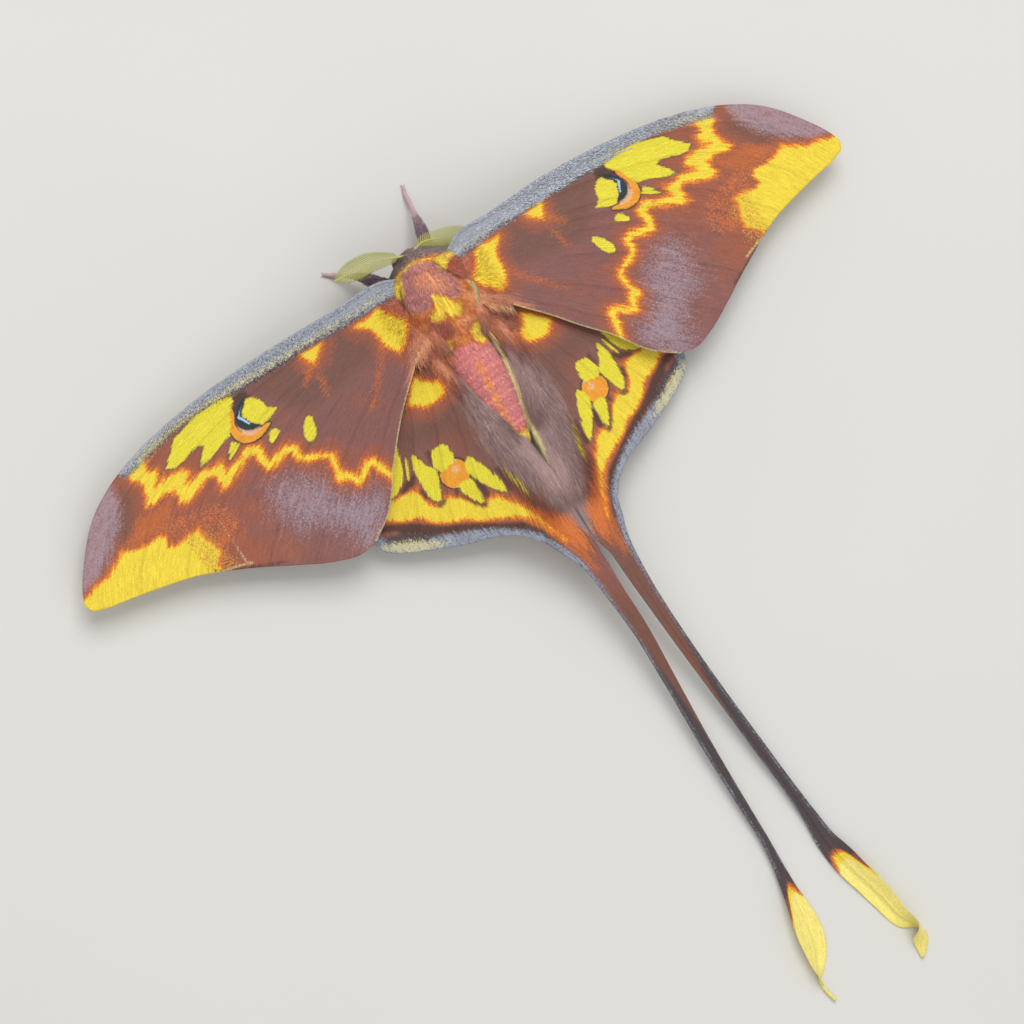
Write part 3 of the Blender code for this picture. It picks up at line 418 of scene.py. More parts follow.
def curve_through(points, shares):
    """Cubic curve through points, read at shares of its chord length."""
    p = np.asarray(points, float)
    knots = np.concatenate([[0.0], np.cumsum(np.linalg.norm(np.diff(p[:, :3], axis=0), axis=1))])
    return cubic(p, knots / knots[-1], shares)


def read_table(rows, y):
    """Each column of a table at distances back y, which its first column gives."""
    rows = np.asarray(rows, float)
    return cubic(rows, rows[:, 0], y)[:, 1:].T


def depth_in(x, y, shapes):
    """How deep each place lies in the shapes, negative outside.

    For a patch it is the distance to the nearest edge, signed by how often a ray sideways crosses the
    outline. For a stroke it is the half width there less the distance to its line.
    """
    deepest = np.full(np.shape(x), -99.0)
    for shape in shapes:
        p = np.asarray(shape, float)
        closed = p.shape[1] == 2
        a, b = (p, np.roll(p, -1, 0)) if closed else (p[:-1], p[1:])
        nearest = np.full(np.shape(x), 99.0)
        odd = np.zeros(np.shape(x), bool)
        for start, end in zip(a, b):
            ex, ey = end[:2] - start[:2]
            u = np.clip(((x - start[0]) * ex + (y - start[1]) * ey) / (ex * ex + ey * ey + 1e-12), 0.0, 1.0)
            gap = np.hypot(x - start[0] - u * ex, y - start[1] - u * ey)
            nearest = np.minimum(nearest, gap if closed else gap - start[2] - u * (end[2] - start[2]))
            if closed and ey:
                odd ^= ((start[1] > y) != (end[1] > y)) & (x < start[0] + (y - start[1]) * ex / ey)
        deepest = np.maximum(deepest, np.where(odd, nearest, -nearest))
    return deepest


def new_piece(name, points, faces, material, values=None, patch=None, nodes=()):
    """Arrays to a mesh object that rides with the model, with point values by name.

    faces is a list of index arrays, one row to a face. patch gives each point's place on the unwrap of
    the skin that it grows from, and becomes the map OFBake.
    """
    corners = np.concatenate([f.ravel() for f in faces]).astype(np.int32)
    sizes = np.concatenate([np.full(len(f), f.shape[1]) for f in faces])
    mesh = bpy.data.meshes.new(name)
    mesh.vertices.add(len(points))
    mesh.vertices.foreach_set("co", place(points).astype(np.float32).ravel())
    mesh.loops.add(len(corners))
    mesh.loops.foreach_set("vertex_index", corners)
    mesh.polygons.add(len(sizes))
    mesh.polygons.foreach_set("loop_start", (np.cumsum(sizes) - sizes).astype(np.int32))
    mesh.update(calc_edges=True)
    mesh.shade_smooth()
    for key, value in (values or {}).items():
        flat = np.asarray(value, np.float32)
        kind = "FLOAT_VECTOR" if flat.ndim == 2 else "FLOAT"
        field = mesh.attributes.new(key, kind, "POINT")
        field.data.foreach_set("vector" if flat.ndim == 2 else "value", flat.ravel())
    if patch is not None:
        layer = mesh.uv_layers.new(name="OFBake")
        layer.data.foreach_set("uv", patch[corners].astype(np.float32).ravel())
    mesh.materials.append(material)
    piece = bpy.data.objects.new(name, mesh)
    bpy.context.scene.collection.objects.link(piece)
    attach(piece, "root")
    if nodes:
        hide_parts(*nodes)


def grid_faces(rows, columns):
    """Four-cornered faces of a grid of points, rows first."""
    first = (np.arange(rows - 1)[:, None] * columns + np.arange(columns - 1)).ravel()
    return np.stack([first, first + columns, first + columns + 1, first + 1], -1)


def capped(rings, first, last):
    """Closes a grid of rings into a skin: its points with a pole at each end, and its faces."""
    count, sides = rings.shape[:2]
    wall = np.arange(count * sides).reshape(count, sides)
    beyond = np.roll(wall, -1, axis=1)
    quads = np.stack([wall[:-1], beyond[:-1], beyond[1:], wall[1:]], -1).reshape(-1, 4)
    fans = [np.stack([beyond[0], wall[0], np.full(sides, wall.size)], -1),
            np.stack([wall[-1], beyond[-1], np.full(sides, wall.size + 1)], -1)]
    return np.concatenate([rings.reshape(-1, 3), [first, last]]), [quads, *fans]


def slab_faces(quads, count, flip):
    """Closes a sheet into a slab: its faces, the same turned over on the lower points, and a rim on each
    edge that only one face has. The lower points follow the count upper ones."""
    top = quads[:, ::-1] if flip else quads
    a, b = top.ravel(), np.roll(top, -1, 1).ravel()
    lone = ~np.isin(a.astype(np.int64) * count + b, b.astype(np.int64) * count + a)
    a, b = a[lone], b[lone]
    return [top, top[:, ::-1] + count, np.stack([b, a, a + count, b + count], -1)]


def swept(paths, radii, sides, up=(0.0, 0.0, 1.0), flat=1.0):
    """Tapered tubes along many paths at once, and the share of its length at which each point stands.

    Round each path point but the last stand corners at its radius, on the axis square to the path and to
    up and on the one square to both, which flat shortens. The last path point is the tube's tip.
    """
    count, rings = radii.shape
    ahead = unit(np.gradient(paths, axis=1))
    side = unit(np.cross(ahead, np.broadcast_to(up, ahead.shape)))
    over = np.cross(ahead, side) * flat
    turn = np.linspace(0, 2 * math.pi, sides, endpoint=False)[:, None]
    ring = (paths[:, :rings, None] + radii[..., None, None]
            * (np.cos(turn) * side[:, :rings, None] + np.sin(turn) * over[:, :rings, None]))
    points = np.concatenate([ring.reshape(count, rings * sides, 3), paths[:, rings:]], 1)
    per = rings * sides + 1
    corner = np.arange(sides)
    beyond = np.roll(corner, -1)
    level = (np.arange(rings - 1) * sides)[:, None]
    wall = np.stack(np.broadcast_arrays(level + corner, level + beyond, level + beyond + sides,
                                        level + corner + sides), -1).reshape(-1, 4)
    last = (rings - 1) * sides
    tip = np.stack([last + corner, last + beyond, np.full(sides, per - 1)], -1)
    root = np.stack([np.zeros(sides - 2, int), corner[2:], corner[1:-1]], -1)
    start = (np.arange(count) * per)[:, None, None]
    faces = [(start + f).reshape(-1, f.shape[1]) for f in (wall, tip, root) if len(f)]
    share = np.append(np.repeat(np.arange(rings) / rings, sides), 1.0)
    return points, faces, share


def scatter(grid, count, weight, rng, outward=1.0):
    """Random places on a grid of points, with the way outward, both ways along the grid, and the place
    on its unwrap.

    A cell is drawn with a chance equal to its area times its weight, and then a place inside it.
    """
    rows, columns = grid.shape[:2]
    along, across = grid[1:, :-1] - grid[:-1, :-1], grid[:-1, 1:] - grid[:-1, :-1]
    facing = np.cross(along, across)
    chance = (np.linalg.norm(facing, axis=-1) * weight).ravel()
    cell = rng.choice(chance.size, count, p=chance / chance.sum())
    i, j = np.divmod(cell, columns - 1)
    u, v = rng.random((2, count))
    place_on = ((1 - u) * (1 - v))[:, None] * grid[i, j] + (u * (1 - v))[:, None] * grid[i + 1, j] \
        + ((1 - u) * v)[:, None] * grid[i, j + 1] + (u * v)[:, None] * grid[i + 1, j + 1]
    spot = np.stack([(i + u) / (rows - 1), (j + v) / (columns - 1)], -1)
    return place_on, unit(facing[i, j]) * outward, unit(along[i, j]), unit(across[i, j]), spot


def coat(name, roots, facing, lie, reach, width, lift, spot, marks, material, slot, rng, rings=2, stray=0.16):
    """A coat of hair in tufts, each a thin three-sided blade that leaves the skin, arches over and ends in
    a point.

    At a share t of its length a tuft stands at root + lie * reach * t + facing * reach * lift * (t - t^2 / 2)
    + a little sideways curl. Its patch on OFBake is PATCH across, at its root. rings is
    the number of its steps, and stray how far the tufts lie aslant of one another.
    """
    count = len(roots)
    lie = unit(lie - facing * (lie * facing).sum(-1, keepdims=True))
    sideways = np.cross(lie, facing)
    lie = unit(lie + sideways * rng.normal(0, stray, (count, 1)))
    reach = (reach * rng.uniform(0.7, 1.25, count))[:, None, None]
    t = np.linspace(0, 1, rings + 1)[None, :, None]
    curl = rng.normal(0, stray * 0.6, (count, 1, 1)) * t**2
    height = (lift * rng.uniform(0.6, 1.4, count))[:, None, None] * (t - t**2 / 2)
    paths = roots[:, None] + reach * (lie[:, None] * t + facing[:, None] * height + sideways[:, None] * curl)
    paths -= facing[:, None] * 0.05 * (t == 0)
    radii = width / 2 * rng.uniform(0.75, 1.25, (count, 1)) * np.linspace(0.8, 0.8 + 0.1 / rings, rings)[None]
    middle = roots + lie * reach[:, 0] * 0.5
    values = dict(marks(middle, facing), strand=rng.random(count) - 0.5, lie=middle[:, [1, 0, 2]])
    parts = -(-count // MOST_TUFTS)
    for number, pick in enumerate(np.array_split(np.arange(count), parts)):
        points, faces, share = swept(paths[pick], radii[pick], 3, facing[pick, None], 0.6)
        per = len(share)
        here = {key: np.repeat(value[pick], per, axis=0) for key, value in values.items()}
        # tip rises from each tuft's root to its tip, and the materials lighten the tuft by it: painted light
        # towards the tips, painted shade at the roots
        here["tip"] = np.tile(0.4 + 0.6 * share, len(pick))
        corner = np.stack([share - 0.5, np.tile([0.0, 0.4, -0.4], rings + 1)[:per]], -1) * PATCH
        patch = (spot[pick, None] * 0.98 + 0.01 + corner).reshape(-1, 2)
        new_piece(name + ("_%d" % number if parts > 1 else ""), points.reshape(-1, 3), faces, material,
                  here, patch)


class Wire:
    """A node socket in an expression: arithmetic on it adds Math nodes, and node() adds any other."""

    def __init__(self, tree, socket=None):
        self.tree, self.socket = tree, socket

    def node(self, kind, settings=None, inputs=None, output=0):
        """Adds a node of a type, with its settings first and then its sockets' values or links."""
        made = self.tree.nodes.new(kind)
        for key, value in (settings or {}).items():
            setattr(made, key, value)
        for key, value in (inputs or {}).items():
            if isinstance(value, Wire):
                self.tree.links.new(value.socket, made.inputs[key])
            else:
                made.inputs[key].default_value = value
        return Wire(self.tree, made.outputs[output])

    def maths(self, operation, *values):
        return self.node("ShaderNodeMath", {"operation": operation}, dict(enumerate(values)))

    def __add__(self, other):
        return self.maths("ADD", self, other)

    __radd__ = __add__

    def __sub__(self, other):
        return self.maths("SUBTRACT", self, other)

    def __rsub__(self, other):
        return self.maths("SUBTRACT", other, self)

    def __mul__(self, other):
        return self.maths("MULTIPLY", self, other)

    __rmul__ = __mul__

    def mask(self, low, high):
        """0 below low and 1 above high, with a soft step between."""
        return self.node("ShaderNodeMapRange", {"interpolation_type": "SMOOTHSTEP"},
                         {0: self, 1: low, 2: high, 3: 0.0, 4: 1.0})

    def mix(self, under, over):
        """The colour under, covered by the colour over as far as this value says."""
        tints = [v if isinstance(v, Wire) else (*v, 1.0) for v in (under, over)]
        return self.node("ShaderNodeMix", {"data_type": "RGBA"}, {0: self, 6: tints[0], 7: tints[1]}, 2)

    def stretched(self, scale):
        return self.node("ShaderNodeVectorMath", {"operation": "MULTIPLY"}, {0: self, 1: scale})

    def noise(self, scale, detail=2.0, roughness=0.5):
        """Noise on this vector, about -0.5 to 0.5."""
        made = self.node("ShaderNodeTexNoise", None,
                         {"Vector": self, "Scale": scale, "Detail": detail, "Roughness": roughness})
        return (made - 0.5) * 1.6

    def read(self, name, output=2):
        """A point value by its name; output 1 reads it as a vector."""
        return self.node("ShaderNodeAttribute", {"attribute_name": name}, None, output)

    def place(self):
        """Object coordinates in millimetres."""
        return self.node("ShaderNodeTexCoord", None, None, 3).stretched((1000.0, 1000.0, 1000.0))

    def times(self, colour, factor):
        """A colour made lighter or darker by a value."""
        return self.node("ShaderNodeVectorMath", {"operation": "SCALE"}, {0: colour, "Scale": factor})


def new_material(name, roughness=0.8, **fixed):
    """A material with a Principled shader whose even values are set on its own sockets; gives the
    material, its shader and a first wire."""
    material = bpy.data.materials.new(name)
    material.use_nodes = True
    shader = material.node_tree.nodes["Principled BSDF"]
    shader.inputs["Roughness"].default_value = roughness
    for key, value in fixed.items():
        shader.inputs[key.replace("_", " ")].default_value = value
    return material, shader, Wire(material.node_tree)


def link(wire, shader, key):
    wire.tree.links.new(wire.socket, shader.inputs[key])


def painted(wire, colour, streaks, specks, layers):
    """Lays marks over a colour in turn: each covers its share of it where the depth in the mark, plus its
    reach and its shares of the streaks and specks, is above zero."""
    depths = {}
    for mark, tint, reach, soft, streaky, specked, cover in layers:
        if mark not in depths:
            depths[mark] = wire.read(mark)
        edge = depths[mark] + streaks * streaky + specks * specked
        colour = (edge.mask(-reach - soft / 2, -reach + soft / 2) * cover).mix(colour, tint)
    return colour


def bumped(wire, shader, height, strength, distance):
    link(wire.node("ShaderNodeBump", None, {"Height": height, "Strength": strength,
                                            "Distance": distance * MM}), shader, "Normal")


def wing_material(name, base, second, layers):
    """Wing scales: a brown that drifts between two tones, the marks with streaky and speckled edges, a
    fine grain of single scales, veins a little darker, hair tufts lighter towards their tips (painted light,
    with painted shade at their roots), and a bump of scale rows."""
    material, shader, wire = new_material(name, 0.72, Sheen_Weight=0.12, Sheen_Roughness=0.5)
    lie, place_mm = wire.read("lie", 1), wire.place()
    streak = lie.stretched((0.3, 2.4, 1.0)).noise(1.0, 3.0)
    fine = place_mm.noise(2.6, 3.0, 0.6)
    grain = place_mm.noise(5.5, 1.0, 0.6)
    fibre = lie.stretched((0.5, 6.0, 1.0)).noise(1.0, 2.0)
    drift = place_mm.noise(0.16, 2.0) + streak * 0.35 + wire.read("outer")
    colour = drift.mask(-0.4, 0.6).mix(base, second)
    colour = painted(wire, colour, streak, fine * 0.6 + grain * 0.6, layers)
    veins = wire.read("vein").mask(0.35, 0.08)
    # strand is each tuft's own tone; tip adds painted light towards the tufts' tips and leaves painted shade
    # at their roots
    tuft = wire.read("strand") * 0.5 + wire.read("tip") * 0.8
    light = 1.0 + grain * 0.3 + fine * 0.2 + streak * 0.14 + fibre * 0.4 - veins * 0.12 + tuft
    link(wire.times(colour, light), shader, "Base Color")
    rows = lie.node("ShaderNodeTexVoronoi", None, {"Vector": lie.stretched((5.5, 8.0, 1.0)), "Scale": 1.0})
    bumped(wire, shader, rows * -0.5 + streak * 0.8 + grain * 0.5, 0.6, 0.06)
    return material


def fur_material(name, base, second, layers):
    """Fur and the skin under it: the marks, then each tuft a little lighter or darker than the next, with
    painted shade at its root that turns to painted light towards its tip. The skin has no tufts, so it stays
    dark: painted shade under the fur."""
    material, shader, wire = new_material(name, 0.65, Sheen_Weight=0.15, Sheen_Roughness=0.4)
    place_mm = wire.place()
    fine = place_mm.noise(1.1, 3.0)
    colour = place_mm.noise(0.35, 2.0).mask(-0.35, 0.35).mix(base, second)
    colour = painted(wire, colour, fine, place_mm.noise(3.0, 1.0), layers)
    streak = place_mm.stretched((2.4, 0.6, 2.4)).noise(1.0, 3.0)
    # strand is each tuft's own tone; tip is painted light towards the tips and painted shade at the roots
    light = 1.0 + wire.read("strand") * 0.5 + wire.read("tip") * 0.4 + streak * 0.35
    link(wire.times(colour, light), shader, "Base Color")
    bumped(wire, shader, streak, 0.5, 0.1)
    return material


def marks_at(x, y, shapes):
    """Depths in every mark that the wings' materials read, by name."""
    return {mark: depth_in(x, y, shapes.get(mark, [])) for mark in WING_MARKS}


def wing_layers(c):
    """(mark, colour, reach, softness, streaks and specks of its edge in mm, cover), from the lowest up."""
    return [("umber", c.umber, 0.0, 2.8, 2.0, 1.0, 0.7), ("gold", c.tawny, 1.9, 2.2, 1.4, 1.2, 0.9),
            ("mottle", c.amber, -1.5, 1.2, 1.0, 5.0, 0.7), ("rust", c.copper, 0.0, 2.4, 2.0, 1.4, 0.85),
            ("patch", c.russet, 0.0, 0.6, 0.5, 0.6, 0.9),
            ("frost", c.frost, -0.5, 2.2, 1.5, 3.2, 0.72), ("haze", c.haze, 0.4, 2.4, 2.0, 0.6, 0.8),
            ("dusk", c.dusk, 0.0, 0.8, 0.7, 1.2, 0.9), ("ember", c.ember, 0.0, 1.4, 1.2, 2.6, 0.85),
            ("gold", c.ember, 0.55, 0.9, 0.9, 1.5, 0.9), ("amber", c.amber, 0.0, 1.4, 2.6, 1.0, 0.9),
            ("dust", c.gold, -0.9, 0.6, 0.6, 4.0, 0.85),
            ("gold", c.orange, 0.12, 0.6, 0.9, 0.9, 1.0), ("gold", c.gold, -0.22, 0.5, 0.8, 0.7, 1.0),
            ("dust", c.ember, -0.8, 0.9, 0.8, 3.4, 0.75),
            ("shade", c.shade, 0.0, 0.7, 0.7, 0.8, 0.85),
            ("slate", c.soot, 0.15, 0.5, 0.5, 1.8, 0.85), ("slate", c.slate, -0.35, 1.0, 0.8, 2.4, 0.95),
            ("border", c.shade, 0.25, 0.6, 0.5, 0.8, 0.8), ("border", c.steel, 0.1, 1.0, 0.8, 1.3, 0.85),
            ("fleck", c.cream, -0.1, 1.0, 0.8, 2.0, 0.65), ("cream", c.cream, 0.0, 0.4, 0.2, 0.3, 0.75),
            ("lemon", c.umber, 0.2, 0.4, 0.55, 0.3, 0.9), ("ring", c.pupil, 0.2, 0.2, 0.0, 0.1, 1.0),
            ("ring", c.ring, 0.0, 0.24, 0.0, 0.2, 1.0), ("blush", c.blush, -0.05, 0.6, 0.1, 0.3, 0.9),
            ("pupil", c.pupil, 0.0, 0.26, 0.0, 0.2, 1.0), ("glint", c.glint, 0.0, 0.12, 0.0, 0.2, 1.0),
            ("lemon", c.lemon, 0.0, 0.36, 0.55, 0.3, 1.0), ("pale", c.pale, 0.0, 0.8, 0.3, 0.3, 1.0)]


def fall(x):
    """Height lost at a distance out from the wing's root."""
    out = x - ROOT_X
    return DROOP * (1 - np.exp(-(out + np.sqrt(out**2 + 9.0)) / 2 / DROOP_REACH))


def hindwing_height(x, y):
    back = y - HIND_FALL_FROM
    return ROOT_Z - HIND_BELOW - fall(x) - HIND_FALL * (back + np.sqrt(back**2 + 16.0)) / 2


def set_right_forewing(x, y):
    """The right forewing is swept further forward than the left, and is a little broader and fuller."""
    widening = 1 + RIGHT_BROADER * np.clip(x / RIGHT_BROAD_FROM, 0.0, 1.0)
    broad = HIND_CORNER_Y + (y - HIND_CORNER_Y) * widening
    fuller = RIGHT_FULLER * smooth((y - FULLER_FROM) / FULLER_OVER) * smooth(x / HIND_CORNER_Y)
    out = x + RIGHT_OUT * (1 - x / FORE_COSTA[-1][0]) + fuller
    return out, broad - math.sin(math.radians(RIGHT_SWEEP)) * (out - ROOT_X)


def hind_shift(y):
    """Sideways set of both hindwings at a distance back."""
    return HIND_SHIFT * smooth(y / HIND_SHIFT_OVER)


def coons(front, back, root, outer, rows, columns):
    """Blends four edges into a surface: front and back edges mixed across, root and outer edge mixed
    along, less the mix of the corners."""
    s, t = rows[:, None, None], columns[None, :, None]
    corners = (1 - s) * ((1 - t) * front[0] + t * back[0]) + s * ((1 - t) * front[-1] + t * back[-1])
    return (1 - t) * front[:, None] + t * back[:, None] + (1 - s) * root[None] + s * outer[None] - corners


def vein_distance(plan, rows, columns, veins):
    """Distance to the nearest vein: the difference of breadth shares times the local breadth, and longer
    before the vein's own start."""
    breadth = np.linalg.norm(np.gradient(plan, columns, axis=1), axis=-1)
    nearest = np.full(plan.shape[:2], 9.0)
    for share, start in veins.items():
        before = np.clip(start - rows, 0.0, 1.0)[:, None] * 8.0
        nearest = np.minimum(nearest, np.hypot(np.abs(columns - share) * breadth, before))
    return nearest


def relief(vein, ease, sizes):
    """How far the membrane sinks between the veins, and how far each vein stands up from it."""
    pleat = sizes.pleat / MM * (np.exp(-(vein / 1.3) ** 2) - 0.6) * ease
    return pleat, sizes.vein / MM * np.exp(-(vein * MM / sizes.vein_width * 2) ** 2) * ease


def arc_length(plan):
    """Distance along each row line of a grid, from its first point."""
    steps = np.linalg.norm(np.diff(plan, axis=0), axis=-1)
    return np.concatenate([np.zeros((1, plan.shape[1])), np.cumsum(steps, axis=0)])


def forewing_grid(side, nrows=230, ncolumns=120):
    """Middle surface of a forewing and its plan before the right one is set apart."""
    rows, columns = np.linspace(0, 1, nrows), np.linspace(0, 1, ncolumns)
    front, back = curve_through(FORE_COSTA, rows), curve_through(FORE_HIND, rows)
    root = front[0] + (back[0] - front[0]) * columns[:, None]
    plan = coons(front, back, root, curve_through(FORE_TERMEN, columns), rows, columns)
    x, y = plan[..., 0], plan[..., 1]
    if side == "r":
        x, y = set_right_forewing(x, y)
    return rows, columns, plan, np.stack([x * SIDES[side], y, ROOT_Z - fall(plan[..., 0])], -1)


def forewing_marks(x, y, side):
    """Depths in a forewing's marks; the right wing's lie a little further in at the front and out at the
    back, and only the left one has a crease near its outer edge, drawn as a pale line that is a painted
    highlight."""
    read = x + FORE_LINE + (0.45 - 0.9 * smooth((y + 4) / 14) if side == "r" else 0.0)
    values = marks_at(read, y, FORE_MARKS)
    values["outer"] = 0.55 * smooth((x - 38) / 10) * smooth((22 - y) / 6) - 0.25 * smooth((42 - x) / 10)
    hind_edge = [(px, py, 0.13) for px, py in curve_through(FORE_HIND, np.linspace(0, 1, 24))]
    # The cream mark takes the hind edge's own cream line and, on the left wing, the crease's painted
    # highlight.
    values["cream"] = np.maximum(values["cream"], depth_in(x, y, [hind_edge] + [CREASE_HIGHLIGHT] * (side == "l")))
    hindmost = smooth((40 - x) / 14) * smooth((y - 8) / 12)
    tip = smooth((x - 50) / 6)
    values["frost"] = np.minimum(values["frost"] * (0.35 + 0.75 * tip), 0.7 + 0.5 * np.maximum(hindmost, tip))
    values["mottle"] = np.minimum(values["mottle"], 1.2)
    values["dust"] = np.minimum(values["dust"], 0.6)
    return values


def hindwing_marks(x, y, side):
    """x is measured out from the middle line of the wing's own side, before its sideways set. The right
    wing's inner edge is cream."""
    read = x + HIND_LINE - hind_shift(y)
    values = marks_at(read, y, HIND_MARKS)
    values["outer"] = 0.3 * smooth((y - 24) / 10) + 0.3 * smooth((9 - y) / 6)
    if side == "r":
        inner = [(px, py, 0.45) for px, py in curve_through(HIND_INNER, np.linspace(0.1, 0.72, 24))]
        values["cream"] = np.maximum(values["cream"], depth_in(x, y, [inner]))
    return values


class MOTH_OT_forewings(bpy.types.Operator):
    """Two forewings. A wing is a thin slab round a surface blended from its front edge, outer edge and
    hind edge; its height falls away from the root by 1 - exp(-distance out), veins stand up from it as
    narrow humps exp(-(distance to the vein / its width)^2), the membrane sinks between them, and the
    front edge is thickened"""
    bl_idname = "moth.forewings"
    bl_label = "Forewings"

    def execute(self, context):
        sizes, c = context.scene.moth_sizes, context.scene.moth_colours
        material = wing_material("forewing_looks", c.brown, c.tawny, wing_layers(c))
        for side, sign in SIDES.items():
            rows, columns, plan, middle = forewing_grid(side)
            vein = vein_distance(plan, rows, columns, FORE_VEINS)
            along = arc_length(plan)
            ease = smooth((1 - rows) / 0.05)[:, None] * smooth(rows / 0.06)[:, None]
            pleat, ridge = relief(vein, ease, sizes)
            breadth = np.linalg.norm(plan - plan[:, :1], axis=-1)
            costa = np.exp(-(breadth / 0.8) ** 2) * (1 - 0.8 * rows[:, None])
            half = (sizes.membrane / MM / 2) * (0.5 + 0.5 * smooth((1 - rows) / 0.03))[:, None] + 0.16 * costa
            waves = 0.10 * np.sin(along / 5.5 + columns * 7.0) * smooth(along / 20)
            top, under = middle.copy(), middle.copy()
            top[..., 2] += half + pleat + ridge + waves
            under[..., 2] += pleat + waves - half
            points = np.concatenate([top.reshape(-1, 3), under.reshape(-1, 3)])
            faces = slab_faces(grid_faces(len(rows), len(columns)), top[..., 0].size, sign < 0)
            values = forewing_marks(plan[..., 0], plan[..., 1], side)
            values["vein"] = vein
            values = {key: np.tile(value.ravel(), 2) for key, value in values.items()}
            lie = np.stack([along, np.broadcast_to(columns * 34.0, along.shape), 0 * along],
                           -1).reshape(-1, 3)
            values["lie"] = np.tile(lie, (2, 1))
            new_piece("forewing_sheet_" + side, points, faces, material, values,
                      nodes=["forewing_" + side])
        return {"FINISHED"}


def hindwing_grid(side, nrows=140, ncolumns=112):
    """Middle surface of a hindwing's blade and its plan before its sideways set. Its inner edge turns down
    beside the abdomen by exp(-(distance to the edge / its reach)^2)."""
    rows, columns = np.linspace(0, 1, nrows), np.linspace(0, 1, ncolumns)
    front, back = curve_through(HIND_COSTA, rows), curve_through(HIND_INNER, rows)
    edge = 1 - HIND_TAIL_SHARE
    corner, inner = np.array(HIND_OUTER[-1]), np.array(HIND_INNER[-1])
    outer = np.where((columns < edge)[:, None], curve_through(HIND_OUTER, columns / edge),
                     corner + (inner - corner) * ((columns - edge) / HIND_TAIL_SHARE)[:, None])
    root = front[0] + (back[0] - front[0]) * columns[:, None]
    plan = coons(front, back, root, outer, rows, columns)
    x, y = plan[..., 0], plan[..., 1]
    beside = smooth((y - 3) / 4) * smooth((33 - y) / 15)
    folded = (HIND_FOLD * np.exp(-(np.linalg.norm(plan - plan[:, -1:], axis=-1) / HIND_FOLD_OVER) ** 2)
              * beside)
    middle = np.stack([x * SIDES[side] - hind_shift(y), y, hindwing_height(x, y) - folded], -1)
    return rows, columns, plan, middle


def tail_grid(side, last_row, share, count=330):
    """Middle surface of a tail, whose first row is the blade's last one.

    Across the tail the points stand off its centre line at shares of its width, on a line that rolls
    about the centre line; its cross-section is a shallow trough with a fold down the middle.
    """
    sign = SIDES[side]
    start = last_row[[0, -1]].mean(0)
    width0 = abs(last_row[0, 0] - last_row[-1, 0])
    path = [(TAIL_Y, start[0], width0)] + TAIL_PATH[side]
    y = np.linspace(TAIL_Y, path[-1][0], count)
    centre, width = read_table(path, y)
    height = read_table(TAIL_HEIGHTS, y)[0]
    roll, fuller = read_table(TAIL_ROLL[side], y)
    roll = np.radians(roll)[:, None]
    width = np.maximum(width, 0.35) * fuller
    turn = np.gradient(centre, y)
    straight = np.sqrt(1 + turn**2)[:, None]
    q = sign * (0.5 - share)[None, :]
    off = q * width[:, None]
    crease = np.abs(2 * q + 0.35 * sign) - 0.6
    fold = (0.10 * smooth((y - 50) / 15) + 0.12 * smooth((y - 103) / 5))[:, None] * width[:, None] * crease
    across = off * np.cos(roll) - fold * np.sin(roll)
    rise = off * np.sin(roll) + fold * np.cos(roll)
    x = centre[:, None] + across / straight
    back = y[:, None] - across * turn[:, None] / straight * smooth((y - TAIL_Y) / 4.0)[:, None]
    z = height[:, None] + rise
    points = np.stack([x, back, z], -1)
    blend = (1 - smooth((y - TAIL_Y) / 8.0))[:, None, None]
    points += (last_row - points[0])[None] * blend
    low = points[..., 2].min(axis=1)
    points[..., 2] += np.maximum(0.16 - low, 0.0)[:, None]
    return y, width, points


def tail_marks(y, width, share, side):
    """Marks of a tail, read on a straightened one that carries the blade's own marks on: a blue-grey
    outer border, red-brown that turns dark, sooner on the right, and the pale end."""
    inner, outer = HIND_INNER[-1][0], HIND_OUTER[-1][0]
    x = inner + (1 - share)[None, :] * width[:, None] * (outer - inner) / width[0]
    yy = np.broadcast_to(y[:, None], x.shape)
    values = marks_at(x + HIND_LINE - HIND_SHIFT, yy, HIND_MARKS)
    from_inner = (1 - share)[None, :] * width[:, None]
    from_outer = share[None, :] * width[:, None]
    edge = np.minimum(from_inner, from_outer)
    values["border"] = np.maximum(0.85 - 0.5 * smooth((yy - 38) / 14) - from_outer,
                                  0.35 * smooth((yy - 60) / 15) - 0.3 - from_inner)
    values["border"] = np.minimum(values["border"], 0.3 - 0.35 * smooth((yy - 34) / 16))
    narrow = smooth((yy - 44) / 14)
    values["border"] = values["border"] * (1 + narrow) - 0.22 * narrow - 2.0 * smooth((yy - 102) / 5)
    values["dusk"] = np.maximum(values["dusk"], 3.4 * smooth((yy - 52) / 40) - 1.3 - 8.0 * smooth((yy - 104)
                                                                                                  / 6) + 2.4
                                * (0.5 - share)[None, :] * smooth((yy - 40) / 12))
    crown = yy - 104.8 - 5.5 * np.exp(-(from_outer / 0.8) ** 2) - 1.2 * np.exp(-(from_inner / 0.5) ** 2)
    values["gold"] = np.maximum(values["gold"], np.minimum(crown, edge * 1.2 + 0.35 * (yy - 108)))
    values["pale"] = np.minimum(crown - 1.6, 0.8 + edge)
    values["umber"] = 0.35 * (yy - (44 if side == "r" else 52))
    values["outer"] = np.full(x.shape, 0.2)
    return values


